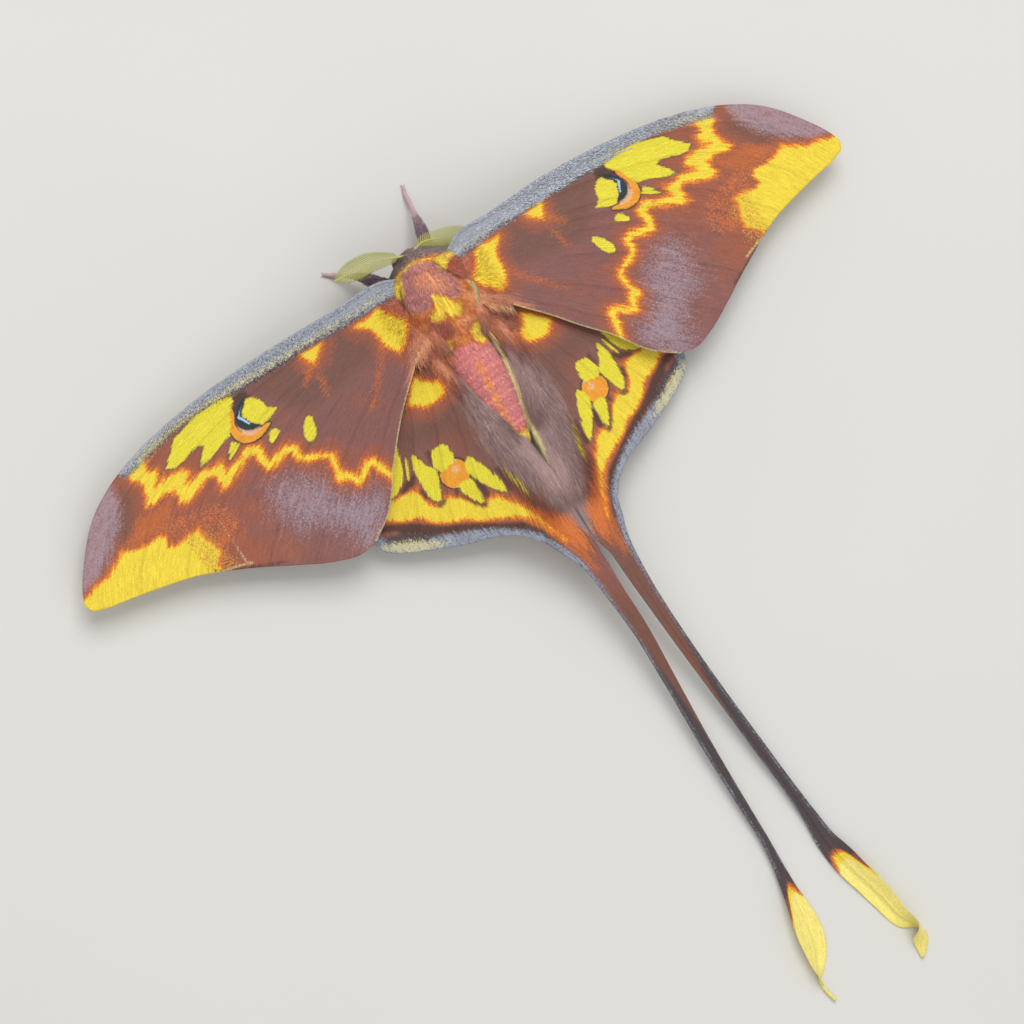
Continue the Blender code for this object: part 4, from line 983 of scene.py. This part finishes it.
def hindwing_piece(side, sizes, material):
    """One hindwing with its tail: the blade's grid and the tail's share the blade's last row."""
    sign = SIDES[side]
    rows, columns, plan, middle = hindwing_grid(side)
    tail = columns >= 1 - HIND_TAIL_SHARE
    share = (columns[tail] - columns[tail][0]) / (1 - columns[tail][0])
    y, width, ribbon = tail_grid(side, middle[-1, tail], share)
    vein = vein_distance(plan, rows, columns, HIND_VEINS)
    along = arc_length(plan)
    ease = smooth(rows / 0.08)[:, None] * np.where(tail, 1.0, smooth((1 - rows) / 0.06)[:, None])
    pleat, ridge = relief(vein, ease, sizes)
    half = sizes.membrane / MM / 2 * (0.5 + 0.5 * np.where(tail, 1.0, smooth((1 - rows) / 0.04)[:, None]))
    middle[..., 2] += pleat
    fade = (1 - smooth((y[1:] - TAIL_Y) / 10.0))[:, None]
    lower = ribbon[1:].copy()
    lower[..., 2] += pleat[-1, tail] * fade
    tail_half = np.full(lower.shape[:2], sizes.membrane / MM / 2)
    midrib = 0.16 * np.exp(-(((share - 0.5)[None, :] * width[1:, None]) / 0.22) ** 2)
    raised = ridge[-1, tail] * fade + midrib * smooth((y[1:] - 44) / 10)[:, None]
    centre = np.concatenate([middle.reshape(-1, 3), lower.reshape(-1, 3)])
    thick = np.concatenate([half.ravel(), tail_half.ravel()])
    bump = np.concatenate([ridge.ravel(), raised.ravel()])
    top, under = centre.copy(), centre.copy()
    top[:, 2] += thick + bump
    under[:, 2] -= thick
    joint = (len(rows) - 1) * len(columns) + np.flatnonzero(tail)
    below = np.arange(lower[..., 0].size).reshape(lower.shape[:2])
    index = np.concatenate([joint[None], plan[..., 0].size + below])
    strip = np.stack([index[:-1, :-1], index[1:, :-1], index[1:, 1:], index[:-1, 1:]], -1).reshape(-1, 4)
    quads = np.concatenate([grid_faces(len(rows), len(columns)), strip])
    blade = hindwing_marks(plan[..., 0], plan[..., 1], side)
    outer_edge = [(px, py, 0.0) for px, py in curve_through(HIND_OUTER, np.linspace(0, 1, 40))]
    wide = 0.85 + 1.0 * smooth((plan[..., 0] - 9) / 8) - 0.5 * smooth((plan[..., 0] - 19) / 5)
    blade["border"] = np.minimum(wide + depth_in(plan[..., 0], plan[..., 1], [outer_edge]), 0.3)
    rest = tail_marks(y, width, share, side)
    values = {key: np.tile(np.concatenate([blade[key].ravel(), rest[key][1:].ravel()]), 2) for key in blade}
    values["vein"] = np.tile(np.concatenate([vein.ravel(), np.full(lower[..., 0].size, 9.0)]), 2)
    spread = np.broadcast_to(columns * 34.0, along.shape)
    lie_tail = np.stack([along[-1, tail] + (y[1:, None] - TAIL_Y), np.broadcast_to(spread[0, tail],
                                                                                   lower.shape[:2]), 0
                         * lower[..., 0]], -1)
    lie = np.concatenate([np.stack([along, spread, 0 * along], -1).reshape(-1, 3), lie_tail.reshape(-1, 3)])
    values["lie"] = np.tile(lie, (2, 1))
    faces = slab_faces(quads, len(centre), sign < 0)
    new_piece("hindwing_sheet_" + side, np.concatenate([top, under]), faces, material,
              values, nodes=["hindwing_" + side, "hindwing_tail_" + side])


class MOTH_OT_hindwings(bpy.types.Operator):
    """Two hindwings, each with its tail in one piece. The blade is a thin slab round a surface blended
    from its hidden front edge, outer edge and inner edge; the tail is a ribbon whose points stand off a
    centre line at shares of its width, rolled about that line where its end twists"""
    bl_idname = "moth.hindwings"
    bl_label = "Hindwings"

    def execute(self, context):
        c = context.scene.moth_colours
        material = wing_material("hindwing_looks", c.brown, c.rust, wing_layers(c))
        for side in SIDES:
            hindwing_piece(side, context.scene.moth_sizes, material)
        return {"FINISHED"}


def skin_grid(nrows=170, sides=96):
    """Rings round the body: each corner stands off the ring's centre by half its width and height times
    the cosine and sine of its angle, both raised to 2 / squareness; the abdomen is pinched where two
    segments meet. The first point of a ring is repeated at its end."""
    ends = SKIN[0][0], SKIN[-1][0]
    y = ends[0] + (ends[1] - ends[0]) * (1 - np.cos(np.linspace(0.04, math.pi - 0.04, nrows))) / 2
    y = 0.5 * y + 0.5 * np.linspace(*ends, nrows)
    half, top, under, square = read_table(SKIN, y)
    step = (ABDOMEN_END - ABDOMEN_Y) / SEGMENTS
    share = ((y - ABDOMEN_Y) / step) % 1.0
    pinch = (0.03 * np.exp(-(np.minimum(share, 1 - share) / 0.14) ** 2)
             * smooth((y - 6) / 3) * smooth((24 - y) / 2))
    angle = -np.linspace(0, 2 * math.pi, sides + 1)
    cos, sin = np.cos(angle)[None], np.sin(angle)[None]
    power = (2 / square)[:, None]
    lean = -ABDOMEN_LEAN * np.clip((y - ABDOMEN_Y) / 6.0, 0.0, 1.0)
    x = lean[:, None] + (half - pinch)[:, None] * np.sign(cos) * np.abs(cos) ** power
    z = ((top + under)[:, None] / 2
         + ((top - under) / 2 - pinch)[:, None] * np.sign(sin) * np.abs(sin) ** power)
    return np.stack([x, np.broadcast_to(y[:, None], x.shape), z], -1)


def body_marks(points, facing):
    """Marks of skin and fur alike: those of the back where it faces up, plain fur below."""
    x, y = points[:, 0], points[:, 1]
    values = {mark: depth_in(x, y, shapes) for mark, shapes in BODY_MARKS.items()}
    below = smooth((-facing[:, 2] - 0.05) / 0.3) * 6.0
    for mark in ("plum", "rust", "gold", "cream", "slate", "parting_shadow"):
        values[mark] = values[mark] - below
    values["mane"] = values["trail"] = np.full(len(points), -9.0)
    values["face"] = -9.5 - y - 3.0 * smooth((points[:, 2] - 8.6) / 0.8)
    return values


def mane_marks(points, facing):
    """The mane is copper, grey-brown further back, and keeps no mark of the back that it lies over."""
    values = body_marks(points, facing)
    none = values["mane"]
    return dict({mark: none for mark in values}, mane=none + 10, trail=points[:, 1] - 4.6)


def body_layers(c):
    return [("rose", c.rose, 0.0, 0.8, 0.8, 0.3, 1.0), ("ember", c.apricot, 0.1, 0.8, 0.9, 0.6, 0.7),
            ("gold", c.amber, 0.45, 0.8, 0.9, 0.4, 0.9), ("plum", c.plum, 0.1, 0.7, 0.7, 0.4, 1.0),
            ("tawny", c.ginger, 0.0, 1.8, 1.4, 1.2, 0.6), ("rust", c.russet, 0.0, 0.5, 0.7, 0.4, 1.0),
            ("mane", c.copper, 0.0, 0.7, 0.7, 0.4, 1.0), ("trail", c.trail, 0.0, 4.0, 0.6, 0.6, 0.9),
            ("gold", c.straw, 0.0, 0.5, 0.6, 0.3, 1.0), ("cream", c.cream, 0.0, 0.3, 0.4, 0.2, 1.0),
            ("slate", c.collar, 0.0, 0.5, 0.5, 0.4, 1.0), ("slate", c.umber, -0.5, 1.0, 1.8, 2.6, 0.5),
            # The dark lines between the parts of the thorax are painted shadow.
            ("parting_shadow", c.umber, 0.0, 0.35, 0.2, 0.1, 0.8), ("face", c.leg, 0.0, 0.6, 0.5, 0.3, 1.0)]


class MOTH_OT_body(bpy.types.Operator):
    """One skin for head, thorax and abdomen. Rings of rounded squares along the body, whose half width,
    top, underside and squareness are read from one smooth table"""
    bl_idname = "moth.body"
    bl_label = "Body Skin"

    def execute(self, context):
        c = context.scene.moth_colours
        grid = skin_grid()
        material = fur_material("body_fur", c.ginger, c.amber, body_layers(c))
        points, faces = capped(grid[:, :-1], *grid[[0, -1], :-1].mean(axis=1))
        facing = unit(points * (1, 0, 1) - (0, 0, BODY_Z))
        new_piece("body_skin", points, faces, material, body_marks(points, facing),
                  nodes=["thorax", "head", "abdomen"])
        return {"FINISHED"}


class MOTH_OT_coat(bpy.types.Operator):
    """The body's fur, in tufts that lie backwards over the thorax and abdomen, sideways along the collar
    and forwards on the face"""
    bl_idname = "moth.coat"
    bl_label = "Body Fur"

    def execute(self, context):
        sizes = context.scene.moth_sizes
        material = bpy.data.materials["body_fur"]
        grid = skin_grid(120, 72)
        x, y, z = ((grid[:-1, :-1] + grid[1:, 1:]) / 2).transpose(2, 0, 1)
        x = np.abs(x)
        width = sizes.hair_width / MM
        parts = {
            "thorax_coat": ((y > -8.9) & (y < 6.2), sizes.coat, sizes.thorax_hair, 0.34, "thorax_fur"),
            "collar_coat": ((y > -10.9) & (y < -8.0) & (z > 10), sizes.coat // 4, sizes.collar_hair, 0.3,
                            "thorax_fur"),
            "face_coat": (y < -9.2, sizes.coat // 6, sizes.abdomen_hair * 0.8, 0.35, "head_fur"),
            "abdomen_coat": (y > 5.0, sizes.coat * 3 // 4, sizes.abdomen_hair, 0.12, "abdomen_fur"),
            "mane": ((y > -0.5) & (y < 6.6) & (x > 3.4) & (z > 7.6), sizes.coat // 6, sizes.mane, 0.08,
                     "thorax_fur"),
        }
        for number, (name, (where, count, reach, lift, slot)) in enumerate(parts.items()):
            rng = np.random.default_rng(21 + number)
            roots, facing, *_, spot = scatter(grid, count, where, rng, -1.0)
            left, back, up = roots.T
            inward = smooth((back + 6) / 8) * smooth((14.6 - up) / 3)
            lie = {"thorax_coat": (0.35 * np.sign(left) * (1 - inward), 1, -0.15),
                   "collar_coat": (np.clip(left / 3, -1, 1), -0.12 + 0.3 * (1 - np.abs(left) / 7), -0.05),
                   "face_coat": (0.4 * left, -0.6, -0.7), "abdomen_coat": (0, 1, -0.15),
                   "mane": (0.02 * np.sign(left), 1, -0.22)}[name]
            lie = np.stack(np.broadcast_arrays(*lie, left)[:3], -1)
            mane, collar = name == "mane", name == "collar_coat"
            coat(name, roots, facing, lie, reach / MM, width * (1.6 if collar else 1.0), lift, spot,
                 mane_marks if mane else body_marks, material, slot, rng, *((3, 0.1) if mane else ()))
        return {"FINISHED"}


class MOTH_OT_wing_hair(bpy.types.Operator):
    """Hair of the wings: long tufts that lie back along the inner part of each hindwing, short ones
    outwards over the base of each forewing, along the lines in which the wing's grid runs"""
    bl_idname = "moth.wing_hair"
    bl_label = "Wing Hair"

    def execute(self, context):
        sizes = context.scene.moth_sizes
        width = sizes.hair_width / MM
        for number, (side, sign) in enumerate(SIDES.items()):
            rng = np.random.default_rng(40 + number)
            plan, middle = hindwing_grid(side, 90, 60)[2:]
            middle[..., 2] += sizes.membrane / MM * 0.5
            x, y = plan[:-1, :-1, 0], plan[:-1, :-1, 1]
            inner = smooth((7.0 - x) / 3.5) * smooth((y - 6) / 5) * smooth((33 - y) / 7)
            weight = np.maximum(inner, 0.6 * smooth((11 - y) / 5) * smooth((9 - x) / 4))
            roots, facing, along, across, spot = scatter(middle, HIND_TUFTS, weight, rng, sign)

            def hind(points, facing, side=side, sign=sign):
                back = points[:, 1]
                return hindwing_marks((points[:, 0] + hind_shift(back)) * sign, back, side)

            reach = sizes.wing_hair / MM * (0.55 + 0.8 * smooth((spot[:, 1] - 0.6) / 0.3))
            facing = unit(facing + np.array([0, 0, 1.5]) * smooth((roots[:, 1:2] - 10) / 6))
            inward = 0.45 * smooth((spot[:, 1] - 0.72) / 0.2) * smooth((19 - roots[:, 1]) / 6)
            coat("hindwing_hair_" + side, roots, facing, along + across * inward[:, None], reach, width
                 * 0.65, 0.05, spot, hind, bpy.data.materials["hindwing_looks"], "hindwing_scales", rng, 3,
                 0.045)
            plan, middle = forewing_grid(side, 90, 60)[2:]
            middle[..., 2] += sizes.membrane / MM * 0.5
            x = plan[:-1, :-1, 0]
            edge = smooth(depth_in(x + FORE_LINE, plan[:-1, :-1, 1], FORE_MARKS["slate"]) / 0.5)
            weight = (np.maximum(smooth((9 - x) / 3), edge * smooth((56 - x) / 20))
                      * smooth((x - FORE_ROOT_X) / 2))
            roots, facing, along, across, spot = scatter(middle, FORE_TUFTS, weight, rng, sign)
            over = smooth((spot[:, 1] - 0.5) / 0.4)
            front = smooth((0.2 - spot[:, 1]) / 0.06)
            roots[:, 2] += (0.12 + 0.2 * smooth((0.08 - spot[:, 1]) / 0.08)) * front

            def fore(points, facing, side=side, sign=sign):
                return forewing_marks(points[:, 0] * sign, points[:, 1], side)

            coat("forewing_hair_" + side, roots, facing, along + across * (1.4 * over + 0.35 * front)[:,
                                                                                                      None],
                 1.5 + 1.3 * over - 0.7 * front, width * 0.9, 0.04, spot, fore,
                 bpy.data.materials["forewing_looks"], "forewing_scales", rng)
        return {"FINISHED"}


class MOTH_OT_feelers(bpy.types.Operator):
    """Two feelers. A tapering shaft along a curve, in short joints, with two rays on either side of each
    joint; a ray leaves the shaft at a slant and bends towards the tip, and the rays are longest at the
    middle of the feeler"""
    bl_idname = "moth.feelers"
    bl_label = "Feelers"

    def execute(self, context):
        c, sizes = context.scene.moth_colours, context.scene.moth_sizes
        material, shader, wire = new_material("feeler_scales", 0.55, Sheen_Weight=0.1)
        grain = wire.place().noise(5.0, 2.0)
        colour = wire.read("ray").mask(0.0, 0.4).mix(c.shaft, c.feeler)
        link(wire.times(colour, 1.0 + grain * 0.3), shader, "Base Color")
        bumped(wire, shader, grain, 0.4, 0.03)
        shares, at = np.linspace(0, 1, 124), np.linspace(0.10, 0.99, 33)
        joints = 1 + 0.12 * np.abs(np.sin(np.arange(123) / 3 * math.pi))
        radius = np.interp(shares[:-1], (0, 0.1, 1), (0.28, 0.16, 0.08)) * joints
        thick = np.linspace(0.11, 0.075, 6)[None].repeat(len(at), 0)
        for side, line in ANTENNA.items():
            parts = [swept(curve_through(line, shares)[None], radius[None], 10)]
            root = curve_through(line, at)
            ahead = unit(curve_through(line, np.minimum(at + 0.01, 1.0)) - curve_through(line, at - 0.01))
            reach = sizes.ray_length / MM * np.sin(math.pi * (0.08 + 0.91 * at**1.15)) ** 0.9
            out = unit(np.cross(ahead, (0.0, 0.0, 1.0)))
            t = np.linspace(0, 1, 7)[None, :, None]
            for hand in (-1, 1):
                for tier in (0.0, 0.5):
                    slant = 0.5 + 0.45 * t
                    step = (out[:, None] * hand * np.cos(slant) + ahead[:, None] * np.sin(slant)
                            - np.array([0, 0, 1.0]) * (0.05 + 0.4 * tier) * (0.4 + t))
                    step = step * reach[:, None, None] / 6
                    parts.append(swept(root[:, None] + np.cumsum(step, axis=1) - step, thick, 5))
            points, faces, is_ray, offset = [], [[], [], []], [], 0
            for number, (p, f, share) in enumerate(parts):
                points.append(p.reshape(-1, 3))
                is_ray.append(np.full(len(points[-1]), float(number > 0)) * np.tile(share, len(p)))
                for k in range(3):
                    faces[k].append(f[k] + offset)
                offset += len(points[-1])
            new_piece("feeler_" + side, np.concatenate(points), [np.concatenate(f) for f in faces], material,
                      {"ray": np.concatenate(is_ray)}, nodes=["antenna_" + side])
        return {"FINISHED"}


class MOTH_OT_eyes(bpy.types.Operator):
    """Two compound eyes: ovals whose surface is raised in small domes, radius * (1 + a little of the
    cosines of both angles)"""
    bl_idname = "moth.eyes"
    bl_label = "Eyes"

    def execute(self, context):
        c = context.scene.moth_colours
        material, shader, wire = new_material("compound_eye", 0.22, Coat_Weight=0.6, Coat_Roughness=0.08)
        cells = wire.place().node("ShaderNodeTexVoronoi", None, {"Vector": wire.place(), "Scale": 13.0})
        link(cells.mask(0.1, 0.8).mix(tuple(c.eye), (0.05, 0.028, 0.022)), shader, "Base Color")
        bumped(wire, shader, cells * -1.0, 0.5, 0.03)
        rise = np.linspace(0.03, math.pi - 0.03, 44)
        v, u = np.meshgrid(rise, np.linspace(0, 2 * math.pi, 72, endpoint=False), indexing="ij")
        dome = 1 + 0.006 * np.cos(u * 24) * np.cos(v * 24)
        ball = np.stack([np.sin(v) * np.cos(u), np.sin(v) * np.sin(u), -np.cos(v)], -1) * dome[..., None]
        shell, faces = capped(ball, (0, 0, -1), (0, 0, 1))
        for side, sign in SIDES.items():
            centre = np.array(EYE_CENTRE) * (sign, 1, 1)
            new_piece("compound_eye_" + side, centre + shell * EYE_RADII, faces, material,
                      nodes=["eye_" + side])
        return {"FINISHED"}


class MOTH_OT_legs(bpy.types.Operator):
    """Six legs. Each is a tube along a curve with the leg's own radii, its foot in five joints that swell
    a little towards their ends, two hooked claws, and short hair that lies down the leg"""
    bl_idname = "moth.legs"
    bl_label = "Legs"

    def execute(self, context):
        c, sizes = context.scene.moth_colours, context.scene.moth_sizes
        material, shader, wire = new_material("leg_scales", 0.65, Sheen_Weight=0.2)
        grain = wire.place().noise(4.0, 2.0)
        colour = (wire.read("foot") + grain * 0.3).mask(0.45, 0.6).mix(c.leg, c.foot)
        light = 0.9 + wire.read("strand") * 0.4 + grain * 0.25
        link(wire.times(colour, light), shader, "Base Color")
        bumped(wire, shader, grain, 0.4, 0.05)
        for name in LEG_NAMES:
            pair, side = name.split("_")
            rows = LEGS[name] if name in LEGS else np.array(LEGS[pair]) * (SIDES[side], 1, 1, 1)
            self.leg(name, rows, material, sizes, 60 + len(bpy.data.objects))
        return {"FINISHED"}

    def leg(self, name, rows, material, sizes, seed):
        shares = np.linspace(0, 1, 90)
        line = curve_through(rows, shares)
        foot = smooth((shares - 0.56) / 0.08)
        joint = 1 + 0.16 * foot * np.abs(np.sin((shares - 0.6) / 0.4 * 5 * math.pi / 2)) ** 3
        radius = line[:, 3] * np.where(shares < 0.6, 0.8, 0.92) * joint
        line[:, 2] = np.maximum(line[:, 2], radius + 0.02)
        points, faces, share = swept(line[None, :, :3], radius[None, :-1], 14)
        points = points.reshape(-1, 3)
        end, ahead = line[-1, :3], unit(line[-1, :3] - line[-6, :3])
        out = unit(np.cross(ahead, (0.0, 0.0, 1.0)))
        t = np.linspace(0, 1, 6)[:, None]
        claws = np.stack([end - ahead * 0.15 + ahead * 0.5 * t + hand * out * 0.3 * np.sin(t * 2)
                          - np.array([0, 0, 1.0]) * (end[2] - 0.06) * t**2 for hand in (-1, 1)])
        cp, cf, cs = swept(claws, np.linspace(0.1, 0.04, 5)[None].repeat(2, 0), 6)
        faces = [np.concatenate([a, b + len(points)]) for a, b in zip(faces, cf)]
        values = {"foot": np.concatenate([share, np.ones(len(cs) * 2)]),
                  "strand": np.concatenate([np.full(len(points), 0.4), np.zeros(len(cs) * 2)])}
        new_piece("leg_shaft_" + name, np.concatenate([points, cp.reshape(-1, 3)]), faces, material,
                  values, nodes=["leg_" + name])
        rng = np.random.default_rng(seed)
        tube = points[:-1].reshape(89, 14, 3)
        tube = np.concatenate([tube, tube[:, :1]], 1)
        thick = smooth((0.66 - shares[:88]) / 0.1)[:, None] + 0.12
        roots, facing, along, _, spot = scatter(tube, LEG_TUFTS, thick, rng, -1.0)
        down = sizes.leg_hair / MM * (0.35 + 0.65 * smooth((0.66 - spot[:, 0]) / 0.12))
        down = np.minimum(down, np.maximum(roots[:, 2] - 0.05, 0.1) * 1.4)
        coat("leg_hair_" + name, roots, facing, along, down, sizes.hair_width / MM * 0.7, 0.45, spot,
             lambda points, facing: {"foot": spot[:, 0]}, material, "leg_scales", rng)


class MOTH_OT_stage(bpy.types.Operator):
    """Pale floor, soft lights and the camera. The camera looks down at the moth, ten degrees off upright
    towards its left, and is turned so that the head points up and to the left of the picture"""
    bl_idname = "moth.stage"
    bl_label = "Studio"

    def execute(self, context):
        light = context.scene.moth_light
        floor = bpy.data.meshes.new("studio_floor")
        floor.from_pydata([(x, y, 0.0) for x, y in ((-3, -3), (3, -3), (3, 3), (-3, 3))], [], [(0, 1, 2, 3)])
        material, shader, wire = new_material("floor_paint", 0.9)
        tint = wire.place().noise(0.02, 2.0) * 0.03 + 1.0
        link(wire.times(tuple(light.floor), tint), shader, "Base Color")
        floor.materials.append(material)
        stage = bpy.data.objects.new("studio_floor", floor)
        context.scene.collection.objects.link(stage)
        for name, where, size, power in (("key", (-0.22, -0.45, 0.8), 0.6, light.key),
                                         ("fill", (0.1, 0.5, 0.7), 0.8, light.fill)):
            lamp = bpy.data.lights.new(name, "AREA")
            lamp.energy, lamp.size = power, size
            obj = bpy.data.objects.new(name, lamp)
            obj.location = where
            obj.rotation_euler = Vector(where).to_track_quat("Z", "Y").to_euler()
            context.scene.collection.objects.link(obj)
        world = bpy.data.worlds.new("room")
        world.use_nodes = True
        world.node_tree.nodes["Background"].inputs[0].default_value = (0.95, 0.97, 1.0, 1.0)
        world.node_tree.nodes["Background"].inputs[1].default_value = light.sky
        context.scene.world = world
        context.scene.view_settings.view_transform = "Standard"
        target = Vector(place(LOOK_AT).tolist())
        tilt = math.radians(CAMERA_TILT)
        away = Vector((math.sin(tilt), 0.0, math.cos(tilt)))
        up = Vector(PICTURE_UP)
        up = (up - away * up.dot(away)).normalized()
        right = up.cross(away)
        camera = bpy.data.cameras.new("camera")
        camera.sensor_width = 36.0
        camera.lens = CAMERA_AWAY / PIXEL * camera.sensor_width / PIXELS
        camera.clip_start, camera.clip_end = 0.01, 20.0
        eye = bpy.data.objects.new("camera", camera)
        turn = Matrix((right, up, away)).transposed().to_4x4()
        eye.matrix_world = Matrix.Translation(target + away * CAMERA_AWAY * MM) @ turn
        context.scene.collection.objects.link(eye)
        context.scene.camera = eye
        return {"FINISHED"}


class MOTH_PT_panel(bpy.types.Panel):
    """Sizes and colours of the moth, and one button for each of its pieces"""
    bl_idname = "MOTH_PT_panel"
    bl_label = "Moon Moth"
    bl_space_type = "VIEW_3D"
    bl_region_type = "UI"
    bl_category = "Moon Moth"

    def draw(self, context):
        for step in STEPS:
            self.layout.operator(step.bl_idname)
        for group in (context.scene.moth_sizes, context.scene.moth_colours, context.scene.moth_light):
            box = self.layout.box()
            for key in group.__annotations__:
                box.prop(group, key)


STEPS = (MOTH_OT_stage, MOTH_OT_forewings, MOTH_OT_hindwings, MOTH_OT_body, MOTH_OT_coat, MOTH_OT_wing_hair,
         MOTH_OT_feelers, MOTH_OT_eyes, MOTH_OT_legs)
GROUPS = {"moth_sizes": MothSizes, "moth_colours": MothColours, "moth_light": MothLight}


def register():
    for cls in (*GROUPS.values(), *STEPS, MOTH_PT_panel):
        bpy.utils.register_class(cls)
    for name, cls in GROUPS.items():
        setattr(bpy.types.Scene, name, PointerProperty(type=cls))


def unregister():
    for name in GROUPS:
        delattr(bpy.types.Scene, name)
    for cls in (MOTH_PT_panel, *reversed(STEPS), *GROUPS.values()):
        bpy.utils.unregister_class(cls)


def main():
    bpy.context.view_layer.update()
    register()
    for step in STEPS:
        group, name = step.bl_idname.split(".")
        getattr(getattr(bpy.ops, group), name)()


if __name__ == "__main__":
    main()
